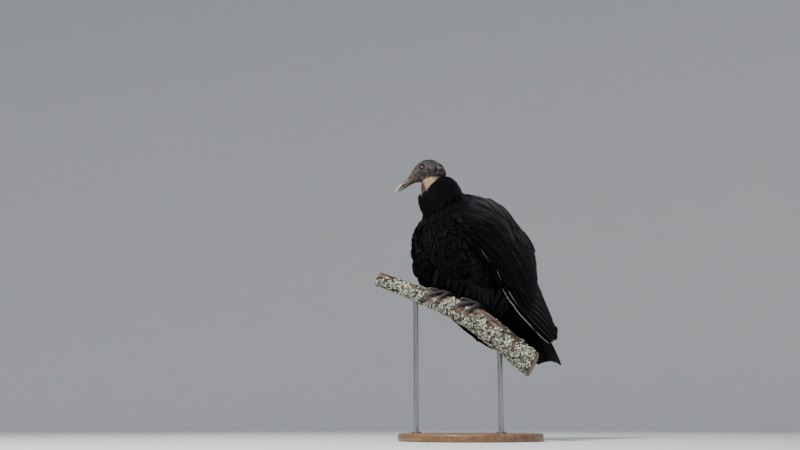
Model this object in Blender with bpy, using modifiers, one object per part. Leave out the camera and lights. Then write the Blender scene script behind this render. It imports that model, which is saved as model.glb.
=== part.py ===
"""Black vulture (Coragyps atratus), adult, perched on a cut length of branch
that a plain display stand holds up.  Life size, metres, +Z up.

Frame: the origin is the middle of the display base's underside.  The bird's
body faces -Y and its left side is +X; the head is turned to its right.
Bird sizes are written in the bird's own frame, whose origin lies on top of
the perch between the feet, and every bird piece is moved up to its place on
the stand by PERCH_TOP.
"""
import math

import bpy
import bmesh
from mathutils import Matrix, Vector

# ---------------------------------------------------------------- sizes
GAP = 0.0003                 # clearance kept between touching solids

# display stand
BASE_RADIUS = 0.170
BASE_THICKNESS = 0.018
BASE_CHAMFER = 0.004
ROD_RADIUS = 0.006
ROD_SPACING = 0.230          # between the two rods, along the perch
ROD_SOCKET = 0.010           # how far a rod runs into the perch
ROD_FOOT = 0.003             # wood left under a rod in the base

# perch
PERCH_TOP = Vector((0.0, -0.030, 0.330))   # bird origin in the part's frame
PERCH_LENGTH = 0.430
PERCH_SLOPE = 28.3           # degrees down towards the bird's left
PERCH_YAW = 38.0             # the bird sits this far across the perch
PERCH_DROP = 0.0245          # centre line under the bird's origin
PERCH_EASE = 0.115           # the upper end runs this much less steeply
PERCH_DIVE = 0.200           # and the lower end this much more steeply,
PERCH_DIVE_AT = 0.030        # from here on
PERCH_KNEE = 0.020           # how far each bend is spread
PERCH_GIRTH = ((-0.215, 0.0188), (-0.120, 0.0188), (-0.060, 0.0224),
               (0.000, 0.0270), (0.070, 0.0305), (0.215, 0.0300))

# head: its own frame lies on the head's mid-plane, x along the bill
HEAD_AT = Vector((-0.012, -0.082, 0.312))
HEAD_TURN = 38.0             # degrees to the bird's right
HEAD_PITCH = 24.0            # bill points this far below level
EYE_AT = Vector((0.0147, 0.0142, 0.0085))  # along the bill, sideways, up
EYE_RADIUS = 0.0062
BILL_START = 0.0700          # where the horn begins along the head's x
BILL_TIP = 0.0955

# legs
FOOT_APART = 0.040           # foot centre from the middle, along the perch
TARSUS_RADIUS = 0.0052
TOE_RADIUS = 0.0048
TOES = {                     # digit: (turned out, length, claw length)
    "2": (-24.0, 0.044, 0.015),
    "3": (0.0, 0.066, 0.017),
    "4": (24.0, 0.048, 0.014),
    "1": (176.0, 0.026, 0.015),
}
FOOT_TURN = -44.0            # the feet's heading from square to the perch
FOOT_BACK = -0.16            # ball of the foot behind the perch's top, rad

# tail
TAIL_BASE = Vector((0.0, 0.186, 0.045))
TAIL_TIP = Vector((0.004, 0.3070, -0.1350))
TAIL_HALF_WIDTH = 0.059
TAIL_TWIST = 17.0            # left side lower


# ---------------------------------------------------------------- scene
for old in list(bpy.data.objects):
    bpy.data.objects.remove(old, do_unlink=True)

PARTS = bpy.data.collections.new("black_vulture")
CUTTERS = bpy.data.collections.new("cutters")
bpy.context.scene.collection.children.link(PARTS)
bpy.context.scene.collection.children.link(CUTTERS)


def paint(name, colour, roughness, metallic=0.0):
    mat = bpy.data.materials.new(name)
    mat.use_nodes = True
    bsdf = mat.node_tree.nodes["Principled BSDF"]
    bsdf.inputs["Base Color"].default_value = (*colour, 1.0)
    bsdf.inputs["Roughness"].default_value = roughness
    bsdf.inputs["Metallic"].default_value = metallic
    mat.diffuse_color = (*colour, 1.0)
    return mat


PLUMAGE = (0.012, 0.012, 0.016)
BARE_SKIN = (0.090, 0.075, 0.070)
HORN = (0.42, 0.39, 0.33)
SCUTES = (0.20, 0.19, 0.18)
CLAW = (0.045, 0.042, 0.040)
BARK = (0.19, 0.17, 0.13)
OAK = (0.20, 0.115, 0.060)
STEEL = (0.30, 0.30, 0.30)


def add(name, mesh, colour, roughness=0.6, metallic=0.0, cutter=False,
        place=PERCH_TOP):
    obj = bpy.data.objects.new(name, mesh)
    (CUTTERS if cutter else PARTS).objects.link(obj)
    obj.location = place
    if cutter:
        obj.hide_render = True
        obj.display_type = "WIRE"
    else:
        mesh.materials.append(paint(name + "_finish", colour, roughness,
                                    metallic))
    return obj


# ---------------------------------------------------------------- shapes
def signed_power(value, power):
    return math.copysign(abs(value) ** power, value)


def section(centre, side, up, half_width, rise, drop, count=12, square=2.0,
            keel=1.0):
    """Closed oval: half_width sideways, rise above and drop below centre,
    with keel under 1 drawing in the flanks below it.
    The cage is drawn slightly outside, by what one subdivision takes off."""
    swell = 4.0 / (3.0 + math.cos(2.0 * math.pi / count))
    ring = []
    for i in range(count):
        a = 2.0 * math.pi * i / count
        w = half_width * signed_power(math.cos(a), 2.0 / square)
        s = math.sin(a)
        h = (rise if s >= 0.0 else drop) * signed_power(s, 2.0 / square)
        if s < 0.0:
            w *= 1.0 - (1.0 - keel) * s * s
        ring.append(centre + (side * w + up * h) * swell)
    return ring


def loft_mesh(name, rings, blunt=0.35):
    """Skin a row of closed sections and close both ends with a low dome."""
    bm = bmesh.new()
    rows = [[bm.verts.new(p) for p in ring] for ring in rings]
    n = len(rows[0])
    for a, b in zip(rows, rows[1:]):
        for i in range(n):
            j = (i + 1) % n
            bm.faces.new((a[i], a[j], b[j], b[i]))
    for row, inner in ((rows[0], rings[1]), (rows[-1], rings[-2])):
        here = sum((v.co for v in row), Vector()) / n
        there = sum(inner, Vector()) / n
        tip = bm.verts.new(here + (here - there) * blunt)
        for i in range(n):
            j = (i + 1) % n
            bm.faces.new((row[i], row[j], tip))
    bmesh.ops.recalc_face_normals(bm, faces=bm.faces)
    mesh = bpy.data.meshes.new(name)
    bm.to_mesh(mesh)
    bm.free()
    return mesh


def soften(obj, levels=1):
    mod = obj.modifiers.new("soft", "SUBSURF")
    mod.levels = levels
    mod.render_levels = levels
    return mod


def soft_form(name, rings, colour, roughness=0.6, levels=1, blunt=0.35,
              cutter=False):
    obj = add(name, loft_mesh(name, rings, blunt), colour, roughness,
              cutter=cutter)
    if levels:
        soften(obj, levels)
    facets = obj.modifiers.new("facets", "TRIANGULATE")
    facets.quad_method = "FIXED"
    for poly in obj.data.polygons:
        poly.use_smooth = True
    return obj


def grown_copy(obj, grow=GAP):
    """Cutter: the same form, grown outward by the clearance."""
    name = obj.name + "_clear"
    dup = obj.copy()
    dup.data = obj.data.copy()
    dup.name = name
    for coll in list(dup.users_collection):
        coll.objects.unlink(dup)
    CUTTERS.objects.link(dup)
    dup.hide_render = True
    dup.display_type = "WIRE"
    mod = dup.modifiers.new("clearance", "DISPLACE")
    mod.direction = "NORMAL"
    mod.mid_level = 0.0
    mod.strength = grow
    return dup


def boolean(obj, tool, how="DIFFERENCE"):
    mod = obj.modifiers.new(how.lower() + "_" + tool.name, "BOOLEAN")
    mod.operation = how
    mod.solver = "EXACT"
    mod.object = tool
    return mod


def smooth_path(points, steps):
    """Catmull-Rom curve through the given points."""
    pts = [Vector(p) for p in points]
    pts = [pts[0] * 2 - pts[1]] + pts + [pts[-1] * 2 - pts[-2]]
    spans = len(pts) - 3
    out = []
    for k in range(steps):
        t = k * spans / (steps - 1)
        i = min(int(t), spans - 1)
        u = t - i
        p0, p1, p2, p3 = pts[i:i + 4]
        out.append(0.5 * ((2 * p1) + (p2 - p0) * u
                          + (2 * p0 - 5 * p1 + 4 * p2 - p3) * u * u
                          + (3 * p1 - p0 - 3 * p2 + p3) * u ** 3))
    return out


def tube_rings(path, radii, count=8, guide=Vector((0, 0, 1)), flat=1.0):
    rings = []
    for i, p in enumerate(path):
        a = path[max(i - 1, 0)]
        b = path[min(i + 1, len(path) - 1)]
        along = (b - a).normalized()
        side = along.cross(guide).normalized()
        up = side.cross(along).normalized()
        r = radii[i]
        rings.append(section(p, side, up, r * flat, r, r, count))
    return rings


# ---------------------------------------------------------------- trunk
def trunk_form(name="trunk"):
    """Body from the shoulders to the rump, plumage included.
    y, z of the middle; lean of the back; half width; rise to the back;
    drop to the breast and belly; keel."""
    stations = (
        (-0.036, 0.246, 66.0, 0.042, 0.046, 0.060, 1.0),
        (-0.022, 0.226, 62.0, 0.066, 0.072, 0.088, 1.0),
        (0.000, 0.200, 58.0, 0.084, 0.093, 0.113, 0.95),
        (0.030, 0.168, 53.0, 0.092, 0.090, 0.130, 0.80),
        (0.066, 0.134, 49.0, 0.093, 0.083, 0.136, 0.66),
        (0.102, 0.104, 46.0, 0.085, 0.074, 0.122, 0.66),
        (0.136, 0.076, 42.0, 0.068, 0.060, 0.096, 0.75),
        (0.164, 0.048, 35.0, 0.050, 0.044, 0.066, 0.9),
        (0.188, 0.018, 28.0, 0.036, 0.032, 0.036, 1.0),
    )
    rings = []
    for y, z, lean, hw, rise, drop, keel in stations:
        th = math.radians(lean)
        up = Vector((0.0, math.sin(th), math.cos(th)))
        rings.append(section(Vector((0.0, y, z)), Vector((1, 0, 0)), up,
                             hw, rise, drop, 12, 2.15, keel))
    return soft_form(name, rings, PLUMAGE, 0.55)


# ---------------------------------------------------------------- head
TURN = math.radians(HEAD_TURN)
PITCH = math.radians(HEAD_PITCH)
FACING = Vector((-math.sin(TURN), -math.cos(TURN), 0.0))
LEFTWARD = Vector((math.cos(TURN), -math.sin(TURN), 0.0))
BILLWARD = FACING * math.cos(PITCH) - Vector((0, 0, 1)) * math.sin(PITCH)
CROWNWARD = FACING * math.sin(PITCH) + Vector((0, 0, 1)) * math.cos(PITCH)


def head_point(x, y, z):
    return HEAD_AT + BILLWARD * x + LEFTWARD * y + CROWNWARD * z


def head_ring(x, top, bottom, half_width, count=10, square=2.2, lean=0.0):
    mid = 0.5 * (top + bottom)
    half = 0.5 * (top - bottom)
    up = (CROWNWARD + BILLWARD * lean).normalized()
    return section(head_point(x, 0.0, mid), LEFTWARD, up, half_width, half,
                   half, count, square)


def head_form():
    """Skull, cheeks and cere: distance along the bill, top, bottom and
    half width of each section."""
    stations = (
        (-0.0345, -0.003, -0.027, 0.0120),
        (-0.0265, 0.0120, -0.036, 0.0180),
        (-0.0120, 0.0245, -0.038, 0.0216),
        (0.0050, 0.0275, -0.032, 0.0222),
        (0.0190, 0.0240, -0.0250, 0.0192),
        (0.0290, 0.0190, -0.0200, 0.0155),
        (0.0390, 0.0125, -0.0165, 0.0117),
        (0.0480, 0.0075, -0.0161, 0.0094),
        (0.0600, 0.0020, -0.0172, 0.0077),
        (0.0740, -0.0042, -0.0192, 0.0060),
    )
    rings = [head_ring(*s) for s in stations]
    return soft_form("head", rings, BARE_SKIN, 0.6, blunt=0.12)


def throat_form():
    """Bare front and sides of the upper neck, down inside the cowl."""
    stations = (                      # height, back, front, half width
        (-0.008, -0.030, 0.008, 0.0160),
        (-0.024, -0.036, 0.0178, 0.0185),
        (-0.042, -0.040, 0.0186, 0.0198),
        (-0.060, -0.034, 0.0180, 0.0180),
    )
    rings = []
    for z, back, front, hw in stations:
        mid = HEAD_AT + FACING * (0.5 * (back + front)) + Vector((0, 0, z))
        half = 0.5 * (front - back)
        rings.append(section(mid, LEFTWARD, FACING, hw, half, half, 12, 2.1))
    return soft_form("throat", rings, BARE_SKIN, 0.6, levels=0, cutter=True)


def bill_upper_form():
    """Horn of the upper mandible: straight, then hooked over the tip."""
    stations = (                      # along, top, bottom, half width
        (0.0660, -0.0012, -0.0118, 0.0069),
        (0.0760, -0.0046, -0.0137, 0.0058),
        (0.0850, -0.0084, -0.0160, 0.0049),
        (0.0908, -0.0126, -0.0195, 0.0038),
        (0.0935, -0.0170, -0.0222, 0.0026),
        (0.0940, -0.0205, -0.0240, 0.0014),
    )
    leans = (0.0, 0.1, 0.35, 0.85, 1.6, 2.6)
    rings = [head_ring(*s, count=12, square=2.0, lean=k)
             for s, k in zip(stations, leans)]
    return soft_form("bill_upper", rings, HORN, 0.35, levels=0, blunt=0.2)


def bill_lower_form():
    stations = (
        (0.0660, -0.0130, -0.0186, 0.0056),
        (0.0760, -0.0143, -0.0194, 0.0046),
        (0.0820, -0.0156, -0.0200, 0.0038),
        (0.0870, -0.0176, -0.0208, 0.0026),
    )
    rings = [head_ring(*s, count=10, square=2.0) for s in stations]
    return soft_form("bill_lower", rings, HORN, 0.4, levels=0, blunt=0.3)


def half_space(obj, x, way):
    """Flat cut square to the bill: takes off what lies beyond x."""
    bm = bmesh.new()
    bmesh.ops.create_cube(bm, size=0.12)
    mesh = bpy.data.meshes.new(obj.name + "_end")
    bm.to_mesh(mesh)
    bm.free()
    block = add(obj.name + "_end", mesh, BARE_SKIN, cutter=True)
    block.location = PERCH_TOP + head_point(x + way * 0.06, 0.0, 0.0)
    frame = Matrix((BILLWARD, LEFTWARD, CROWNWARD)).transposed()
    block.rotation_mode = "QUATERNION"
    block.rotation_quaternion = frame.to_quaternion()
    boolean(obj, block)


def eye_form(side):
    bm = bmesh.new()
    bmesh.ops.create_uvsphere(bm, u_segments=10, v_segments=6,
                              radius=EYE_RADIUS)
    mesh = bpy.data.meshes.new("eye_" + side)
    bm.to_mesh(mesh)
    bm.free()
    obj = add("eye_" + side, mesh, (0.020, 0.012, 0.008), 0.1)
    s = 1.0 if side == "left" else -1.0
    obj.location = PERCH_TOP + head_point(EYE_AT.x, s * EYE_AT.y, EYE_AT.z)
    for poly in mesh.polygons:
        poly.use_smooth = True
    return obj


def neck_form():
    """Feathered neck, short and sunk between the shoulders.  Along the
    facing direction and height from the head's centre: rim front and back,
    half width, and how much the section still turns with the head."""
    stations = (
        ((0.0200, -0.0560), (-0.0400, -0.0100), 0.0250, 1.0),
        ((0.0262, -0.0650), (-0.0540, -0.0175), 0.0330, 1.0),
        ((0.0285, -0.0750), (-0.0700, -0.0300), 0.0400, 0.9),
        ((0.0262, -0.0860), (-0.0810, -0.0460), 0.0470, 0.7),
        ((0.0205, -0.1010), (-0.0890, -0.0630), 0.0530, 0.5),
        ((0.0060, -0.1200), (-0.0860, -0.0800), 0.0500, 0.2),
    )
    rings = []
    for (ff, fz), (bf, bz), hw, turned in stations:
        front = HEAD_AT + FACING * ff + Vector((0, 0, fz))
        back = HEAD_AT + FACING * bf + Vector((0, 0, bz))
        mid = (front + back) * 0.5
        mid.x *= turned
        up = back - front
        half = up.length * 0.5
        yaw = math.radians(-HEAD_TURN * (1.0 - turned))
        up = Matrix.Rotation(-yaw, 3, "Z") @ up.normalized()
        side = Matrix.Rotation(-yaw, 3, "Z") @ LEFTWARD
        rings.append(section(mid, side, up, hw, half, half, 8, 2.0))
    return soft_form("neck", rings, PLUMAGE, 0.6, blunt=0.2)


# ---------------------------------------------------------------- wings
# Folded wing.  Each station gives the upper edge along the back, the lower
# edge along the outermost primary, the bulge of the outer face and the
# thickness of the fold.  The right wing hangs lower and looser in front.
WING_LEFT = (
    ((0.076, -0.072, 0.190), (0.088, -0.084, 0.162), 0.004, 0.020),
    ((0.066, -0.034, 0.222), (0.098, -0.062, 0.128), 0.014, 0.034),
    ((0.046, 0.026, 0.2500), (0.103, -0.030, 0.096), 0.024, 0.040),
    ((0.028, 0.084, 0.2640), (0.105, 0.006, 0.058), 0.031, 0.040),
    ((0.014, 0.139, 0.2450), (0.102, 0.041, 0.012), 0.034, 0.036),
    ((0.010, 0.187, 0.2120), (0.096, 0.074, -0.020), 0.033, 0.030),
    ((0.013, 0.227, 0.1730), (0.087, 0.113, -0.047), 0.028, 0.022),
    ((0.022, 0.2330, 0.1400), (0.077, 0.153, -0.072), 0.021, 0.015),
    ((0.028, 0.2170, 0.0980), (0.067, 0.192, -0.091), 0.014, 0.011),
    ((0.032, 0.2470, 0.0380), (0.057, 0.229, -0.104), 0.009, 0.008),
    ((0.035, 0.2770, -0.0180), (0.048, 0.263, -0.110), 0.004, 0.006),
    ((0.038, 0.3010, -0.0640), (0.041, 0.290, -0.106), 0.002, 0.0035),
)
WING_RIGHT = (
    ((0.074, -0.070, 0.190), (0.086, -0.078, 0.166), 0.003, 0.020),
    ((0.064, -0.034, 0.222), (0.092, -0.071, 0.136), 0.010, 0.034),
    ((0.046, 0.024, 0.2460), (0.096, -0.063, 0.098), 0.018, 0.040),
    ((0.028, 0.074, 0.2530), (0.100, -0.050, 0.052), 0.025, 0.042),
    ((0.015, 0.124, 0.2320), (0.101, -0.024, 0.008), 0.029, 0.038),
    ((0.011, 0.170, 0.1980), (0.098, 0.018, -0.024), 0.030, 0.032),
    ((0.014, 0.212, 0.1580), (0.092, 0.064, -0.058), 0.027, 0.024),
    ((0.022, 0.2240, 0.1240), (0.082, 0.106, -0.090), 0.021, 0.016),
    ((0.027, 0.2200, 0.0780), (0.070, 0.148, -0.114), 0.014, 0.011),
    ((0.031, 0.2400, 0.0180), (0.060, 0.190, -0.131), 0.009, 0.008),
    ((0.034, 0.2600, -0.0420), (0.050, 0.226, -0.139), 0.004, 0.006),
    ((0.037, 0.2760, -0.0900), (0.042, 0.254, -0.138), 0.002, 0.0035),
)
WING_SPLIT = 7               # the primaries run on from this station


def wing_rings(stations, side, count=8):
    rings = []
    sgn = 1.0 if side == "left" else -1.0
    edge = 0.045             # what one subdivision takes off each edge
    ups, lows = [], []
    for up, low, _, _ in stations:
        up, low = Vector(up), Vector(low)
        ups.append(up + (up - low) * edge)
        lows.append(low + (low - up) * edge)
    mids = [(a + b) * 0.5 for a, b in zip(ups, lows)]
    n = len(mids)
    for k, (_, _, bulge, thick) in enumerate(stations):
        along = (mids[min(k + 1, n - 1)] - mids[max(k - 1, 0)]).normalized()
        up, low = ups[k], lows[k]
        out = (low - up).normalized().cross(along)
        if out.x < 0.0:
            out.negate()
        out.normalize()
        ring = []
        outer = count // 2 + 1
        for i in range(outer):                       # outer face
            u = i / (outer - 1)
            arch = 4.0 * u * (1.0 - u)
            ring.append(up.lerp(low, u) + out * bulge * 1.06 * arch)
        for i in range(1, outer - 1):                # inner face
            u = 1.0 - i / (outer - 1)
            arch = 4.0 * u * (1.0 - u)
            depth = thick * (0.55 + 0.45 * arch)
            ring.append(up.lerp(low, u) + out * (bulge * arch - depth))
        for p in ring:
            p.x = max(p.x, 0.0014)
            p.x *= sgn
        rings.append(ring)
    return rings


def wing_form(side):
    """Wing from shoulder to secondaries, and the primaries beyond them."""
    stations = WING_LEFT if side == "left" else WING_RIGHT
    rings = wing_rings(stations, side)
    wing = soft_form("wing_" + side, rings, PLUMAGE, 0.5, blunt=0.3)
    prim = soft_form("primaries_" + side, [r[:] for r in
                                           [[p.copy() for p in q]
                                            for q in rings]],
                     PLUMAGE, 0.45, blunt=0.3)
    # one thin cut across the fold parts the two
    ring = rings[WING_SPLIT]
    mid = sum(ring, Vector()) / len(ring)
    along = (sum(rings[WING_SPLIT + 1], Vector()) / len(ring)
             - sum(rings[WING_SPLIT - 1], Vector()) / len(ring)).normalized()
    tilt = along.to_track_quat("Z", "Y")
    for obj, way in ((wing, 1.0), (prim, -1.0)):
        bm = bmesh.new()
        bmesh.ops.create_cube(bm, size=1.0)
        mesh = bpy.data.meshes.new(obj.name + "_half")
        bm.to_mesh(mesh)
        bm.free()
        block = add(obj.name + "_half", mesh, PLUMAGE, cutter=True)
        block.location = PERCH_TOP + mid + along * way * (0.5 - GAP * 0.5)
        block.rotation_mode = "QUATERNION"
        block.rotation_quaternion = tilt
        boolean(obj, block)
    return wing, prim


# ---------------------------------------------------------------- tail
def tail_form():
    along = (TAIL_TIP - TAIL_BASE).normalized()
    rings = []
    widths = (0.38, 0.50, 0.68, 0.86, 1.0, 1.02)
    thick = (0.0150, 0.0110, 0.0075, 0.0055, 0.0044, 0.0036)
    steps = len(widths)
    for k in range(steps):
        t = k / (steps - 1)
        mid = TAIL_BASE.lerp(TAIL_TIP, t)
        roll = math.radians(TAIL_TWIST * t)
        side = Vector((math.cos(roll), 0.0, -math.sin(roll)))
        side = (side - along * side.dot(along)).normalized()
        up = side.cross(along).normalized()
        if up.y < 0.0:
            up.negate()
        arch = 0.16 * TAIL_HALF_WIDTH * widths[k]
        ring = []
        hw = TAIL_HALF_WIDTH * widths[k]
        columns = (-1.0, -0.4, 0.4, 1.0)
        for c in columns:
            ring.append(mid + side * hw * c
                        + up * (thick[k] * 0.5 - arch * c * c))
        for c in reversed(columns):
            ring.append(mid + side * hw * c
                        - up * (thick[k] * 0.5 + arch * c * c))
        rings.append(ring)
    return soft_form("tail", rings, PLUMAGE, 0.5, blunt=0.02)


# ---------------------------------------------------------------- perch
SLOPE = math.radians(PERCH_SLOPE)
YAW = math.radians(PERCH_YAW)
PERCH_ALONG = Vector((math.cos(YAW) * math.cos(SLOPE),
                      math.sin(YAW) * math.cos(SLOPE), -math.sin(SLOPE)))
PERCH_FRONT = Vector((math.sin(YAW), -math.cos(YAW), 0.0))
PERCH_UP = PERCH_FRONT.cross(PERCH_ALONG).normalized()
if PERCH_UP.z < 0.0:
    PERCH_UP.negate()
PERCH_MID = Vector((0.0, 0.0, -PERCH_DROP))


def perch_radius(s):
    """Half thickness along the perch, thinner towards the upper end."""
    s = min(max(s, PERCH_GIRTH[0][0]), PERCH_GIRTH[-1][0])
    for (a, ra), (b, rb) in zip(PERCH_GIRTH, PERCH_GIRTH[1:]):
        if s <= b:
            return ra + (rb - ra) * (s - a) / (b - a)
    return PERCH_GIRTH[-1][1]


def perch_centre(s):
    """Centre line, arched: less steep above the feet, steeper below."""
    back = math.hypot(min(s, 0.0), PERCH_KNEE) - PERCH_KNEE
    ahead = math.hypot(max(s - PERCH_DIVE_AT, 0.0), PERCH_KNEE) - PERCH_KNEE
    sag = PERCH_EASE * back + PERCH_DIVE * ahead
    return PERCH_MID + PERCH_ALONG * s - PERCH_UP * sag


def perch_mesh(name, grow=0.0, sides=14):
    """A cut length of branch with sawn ends, swelling towards one end."""
    bm = bmesh.new()
    half = PERCH_LENGTH * 0.5 + grow
    rows = []
    stops = 8
    for k in range(stops + 1):
        s = -half + 2.0 * half * k / stops
        sway = 0.0022 * math.sin(s * 21.0 + 0.6)
        lift = 0.0016 * math.sin(s * 27.0 - 0.4)
        mid = perch_centre(s)
        if abs(s) > 0.07:                       # straight under the feet
            mid += PERCH_FRONT * sway * (abs(s) - 0.07) / 0.1
            mid += PERCH_UP * lift * (abs(s) - 0.07) / 0.1
        r = perch_radius(s) + grow
        row = []
        for i in range(sides):
            a = 2.0 * math.pi * i / sides
            row.append(bm.verts.new(
                mid + PERCH_FRONT * (r * math.sin(a))
                + PERCH_UP * (r * math.cos(a))))
        rows.append(row)
    for a, b in zip(rows, rows[1:]):
        for i in range(sides):
            j = (i + 1) % sides
            bm.faces.new((a[i], a[j], b[j], b[i]))
    bm.faces.new(rows[0])
    bm.faces.new(rows[-1])
    bmesh.ops.recalc_face_normals(bm, faces=bm.faces)
    mesh = bpy.data.meshes.new(name)
    bm.to_mesh(mesh)
    bm.free()
    return mesh


# ---------------------------------------------------------------- feet
def perch_surface(s, angle, height):
    """Point at a height over the perch, angle forward from its top."""
    r = perch_radius(s) + height
    return (perch_centre(s) + PERCH_FRONT * (r * math.sin(angle))
            + PERCH_UP * (r * math.cos(angle)))


def foot_along(side):
    return (1.0 if side == "left" else -1.0) * FOOT_APART + 0.006


def toe_path(side, digit, steps, start=0.0, length=None, height=None):
    out, reach, _ = TOES[digit]
    sgn = 1.0 if side == "left" else -1.0
    heading = math.radians(FOOT_TURN + sgn * out)
    reach = reach if length is None else length
    pts = []
    for k in range(steps):
        d = start + reach * k / (steps - 1)
        h = TOE_RADIUS + GAP if height is None else height[k]
        r = perch_radius(foot_along(side)) + h
        angle = (d * math.cos(heading)) / r + FOOT_BACK
        s = foot_along(side) + d * math.sin(heading)
        pts.append(perch_surface(s, angle, h))
    return pts


def foot_form(side):
    """Four toes and the ball of the foot in one piece, gripping the perch:
    three toes wrap the front, the hallux the back."""
    s = foot_along(side)
    turn = math.radians(FOOT_TURN)
    ball = [perch_surface(s + 0.028 * a * math.sin(turn),
                          FOOT_BACK + a * math.cos(turn), 0.0078)
            for a in (-0.30, -0.11, 0.10, 0.32)]
    rings = tube_rings(ball, (0.0056, 0.0082, 0.0084, 0.0060), 8,
                       PERCH_UP, 1.1)
    foot = soft_form("foot_" + side, rings, SCUTES, 0.6, levels=0)
    for digit in TOES:
        heights = [0.0080, 0.0068, 0.0062, 0.0058, 0.0050]
        path = toe_path(side, digit, 5, height=heights)
        radii = (0.0056, 0.0053, 0.0050, 0.0047, 0.0038)
        toe = soft_form("toe_%s_%s" % (side, digit),
                        tube_rings(path, radii, 5, PERCH_UP), SCUTES, 0.6,
                        levels=0, blunt=0.25, cutter=True)
        boolean(foot, toe, "UNION")
    return foot


def claw_form(side, digit):
    """Curved claw beyond the toe's tip, its point turned into the perch."""
    out, reach, claw = TOES[digit]
    heights = (0.0056, 0.0062, 0.0050, 0.0024)
    path = toe_path(side, digit, 4, start=reach + 0.0020, length=claw,
                    height=heights)
    radii = (0.0027, 0.0024, 0.0016, 0.0006)
    return soft_form("claw_%s_%s" % (side, digit),
                     tube_rings(path, radii, 5, PERCH_UP), CLAW, 0.3,
                     levels=0, blunt=0.15)


def tarsus_points(side):
    sgn = 1.0 if side == "left" else -1.0
    foot = perch_surface(foot_along(side), FOOT_BACK - 0.04, 0.0125)
    heel = foot + Vector((sgn * 0.004, 0.034, 0.062))
    return foot, heel


def tarsus_form(side):
    foot, heel = tarsus_points(side)
    path = smooth_path([foot, foot.lerp(heel, 0.5), heel], 5)
    radii = (0.0066, TARSUS_RADIUS, TARSUS_RADIUS, 0.0062, 0.0074)
    return soft_form("tarsus_" + side,
                     tube_rings(path, radii, 8, Vector((0, 1, 0))), SCUTES,
                     0.6, levels=0, blunt=0.1)


def thigh_form(side):
    """Feathered thigh: full at the flank, closing round the tarsus."""
    sgn = 1.0 if side == "left" else -1.0
    foot, heel = tarsus_points(side)
    hip = Vector((sgn * 0.054, 0.032, 0.122))
    cuff = foot.lerp(heel, 0.16)
    bow = Vector((sgn * 0.010, -0.006, 0.0))
    stations = (                      # share of the way down, width, depth
        (0.00, 0.036, 0.056),
        (0.26, 0.037, 0.053),
        (0.52, 0.032, 0.045),
        (0.77, 0.023, 0.033),
        (1.00, 0.014, 0.020),
    )
    rings = []
    for share, hw, depth in stations:
        mid = hip.lerp(cuff, share) + bow * math.sin(math.pi * share)
        rings.append(section(mid, Vector((1, 0, 0)), Vector((0, -1, 0)),
                             hw, depth, depth, 8, 2.0))
    return soft_form("thigh_" + side, rings, PLUMAGE, 0.6)


# ---------------------------------------------------------------- stand
def cylinder(name, radius, low, high, colour, centre, sides=24,
             roughness=0.3, metallic=0.0, cutter=False, chamfer=0.0):
    bm = bmesh.new()
    bmesh.ops.create_cone(bm, cap_ends=True, segments=sides,
                          radius1=radius, radius2=radius, depth=high - low)
    mesh = bpy.data.meshes.new(name)
    bm.to_mesh(mesh)
    bm.free()
    obj = add(name, mesh, colour, roughness, metallic, cutter=cutter,
              place=Vector((centre[0], centre[1], 0.5 * (low + high))))
    if chamfer:
        mod = obj.modifiers.new("chamfer", "BEVEL")
        mod.width = chamfer
        mod.segments = 1
        mod.limit_method = "ANGLE"
        mod.angle_limit = math.radians(40)
    return obj


# ---------------------------------------------------------------- build
trunk = trunk_form()
trunk_clear = grown_copy(trunk)

head = head_form()
throat = throat_form()
head_clear = grown_copy(head)
throat_clear = grown_copy(throat)
boolean(head, throat, "UNION")

bill_upper = bill_upper_form()
bill_lower = bill_lower_form()
boolean(bill_lower, grown_copy(bill_upper))
half_space(head, BILL_START, 1.0)
for horn in (bill_upper, bill_lower):
    half_space(horn, BILL_START + GAP, -1.0)

for side in ("left", "right"):
    eye = eye_form(side)
    boolean(head, grown_copy(eye))

neck = neck_form()
neck_clear = grown_copy(neck)
boolean(neck, trunk_clear)
boolean(neck, head_clear)
boolean(neck, throat_clear)

tail = tail_form()
tail_clear = grown_copy(tail)
boolean(tail, trunk_clear)

perch = add("perch", perch_mesh("perch"), BARK, 0.9)
perch_clear = add("perch_clear", perch_mesh("perch_clear", GAP), BARK,
                  cutter=True)

for side in ("left", "right"):
    wing, prim = wing_form(side)
    wing_clear = grown_copy(wing)
    for piece in (wing, prim):
        boolean(piece, trunk_clear)
        boolean(piece, tail_clear)
        if side == "right":
            boolean(piece, perch_clear)
    boolean(wing, neck_clear)
    thigh = thigh_form(side)
    boolean(thigh, trunk_clear)
    boolean(thigh, wing_clear)
    boolean(thigh, perch_clear)


for side in ("left", "right"):
    foot = foot_form(side)
    foot_clear = grown_copy(foot)
    boolean(foot, perch_clear)
    tarsus = tarsus_form(side)
    tarsus_clear = grown_copy(tarsus)
    boolean(tarsus, foot_clear)
    boolean(tarsus, trunk_clear)
    boolean(bpy.data.objects["thigh_" + side], tarsus_clear)
    for digit in TOES:
        claw = claw_form(side, digit)
        boolean(claw, foot_clear)
        boolean(claw, perch_clear)

base = cylinder("stand_base", BASE_RADIUS, 0.0, BASE_THICKNESS, OAK,
                (0.0, 0.0), 32, 0.45, chamfer=BASE_CHAMFER)
for k, sgn in ((1, -1.0), (2, 1.0)):
    along = sgn * ROD_SPACING * 0.5
    mark = PERCH_TOP + perch_centre(along)
    under = mark.z - perch_radius(along) / math.cos(SLOPE)
    top = under + ROD_SOCKET
    rod = cylinder("stand_rod_%d" % k, ROD_RADIUS, ROD_FOOT + GAP, top - GAP,
                   STEEL, (mark.x, mark.y), 16, 0.3, 1.0)
    bore = cylinder("rod_bore_%d" % k, ROD_RADIUS + GAP, ROD_FOOT, top,
                    STEEL, (mark.x, mark.y), 16, cutter=True)
    boolean(base, bore)
    boolean(perch, bore)
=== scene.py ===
"""Looks of the perched black vulture: skin, feathers, horn, eyes, perch and
display stand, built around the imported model.  Metres, +Z up."""
import math

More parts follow.
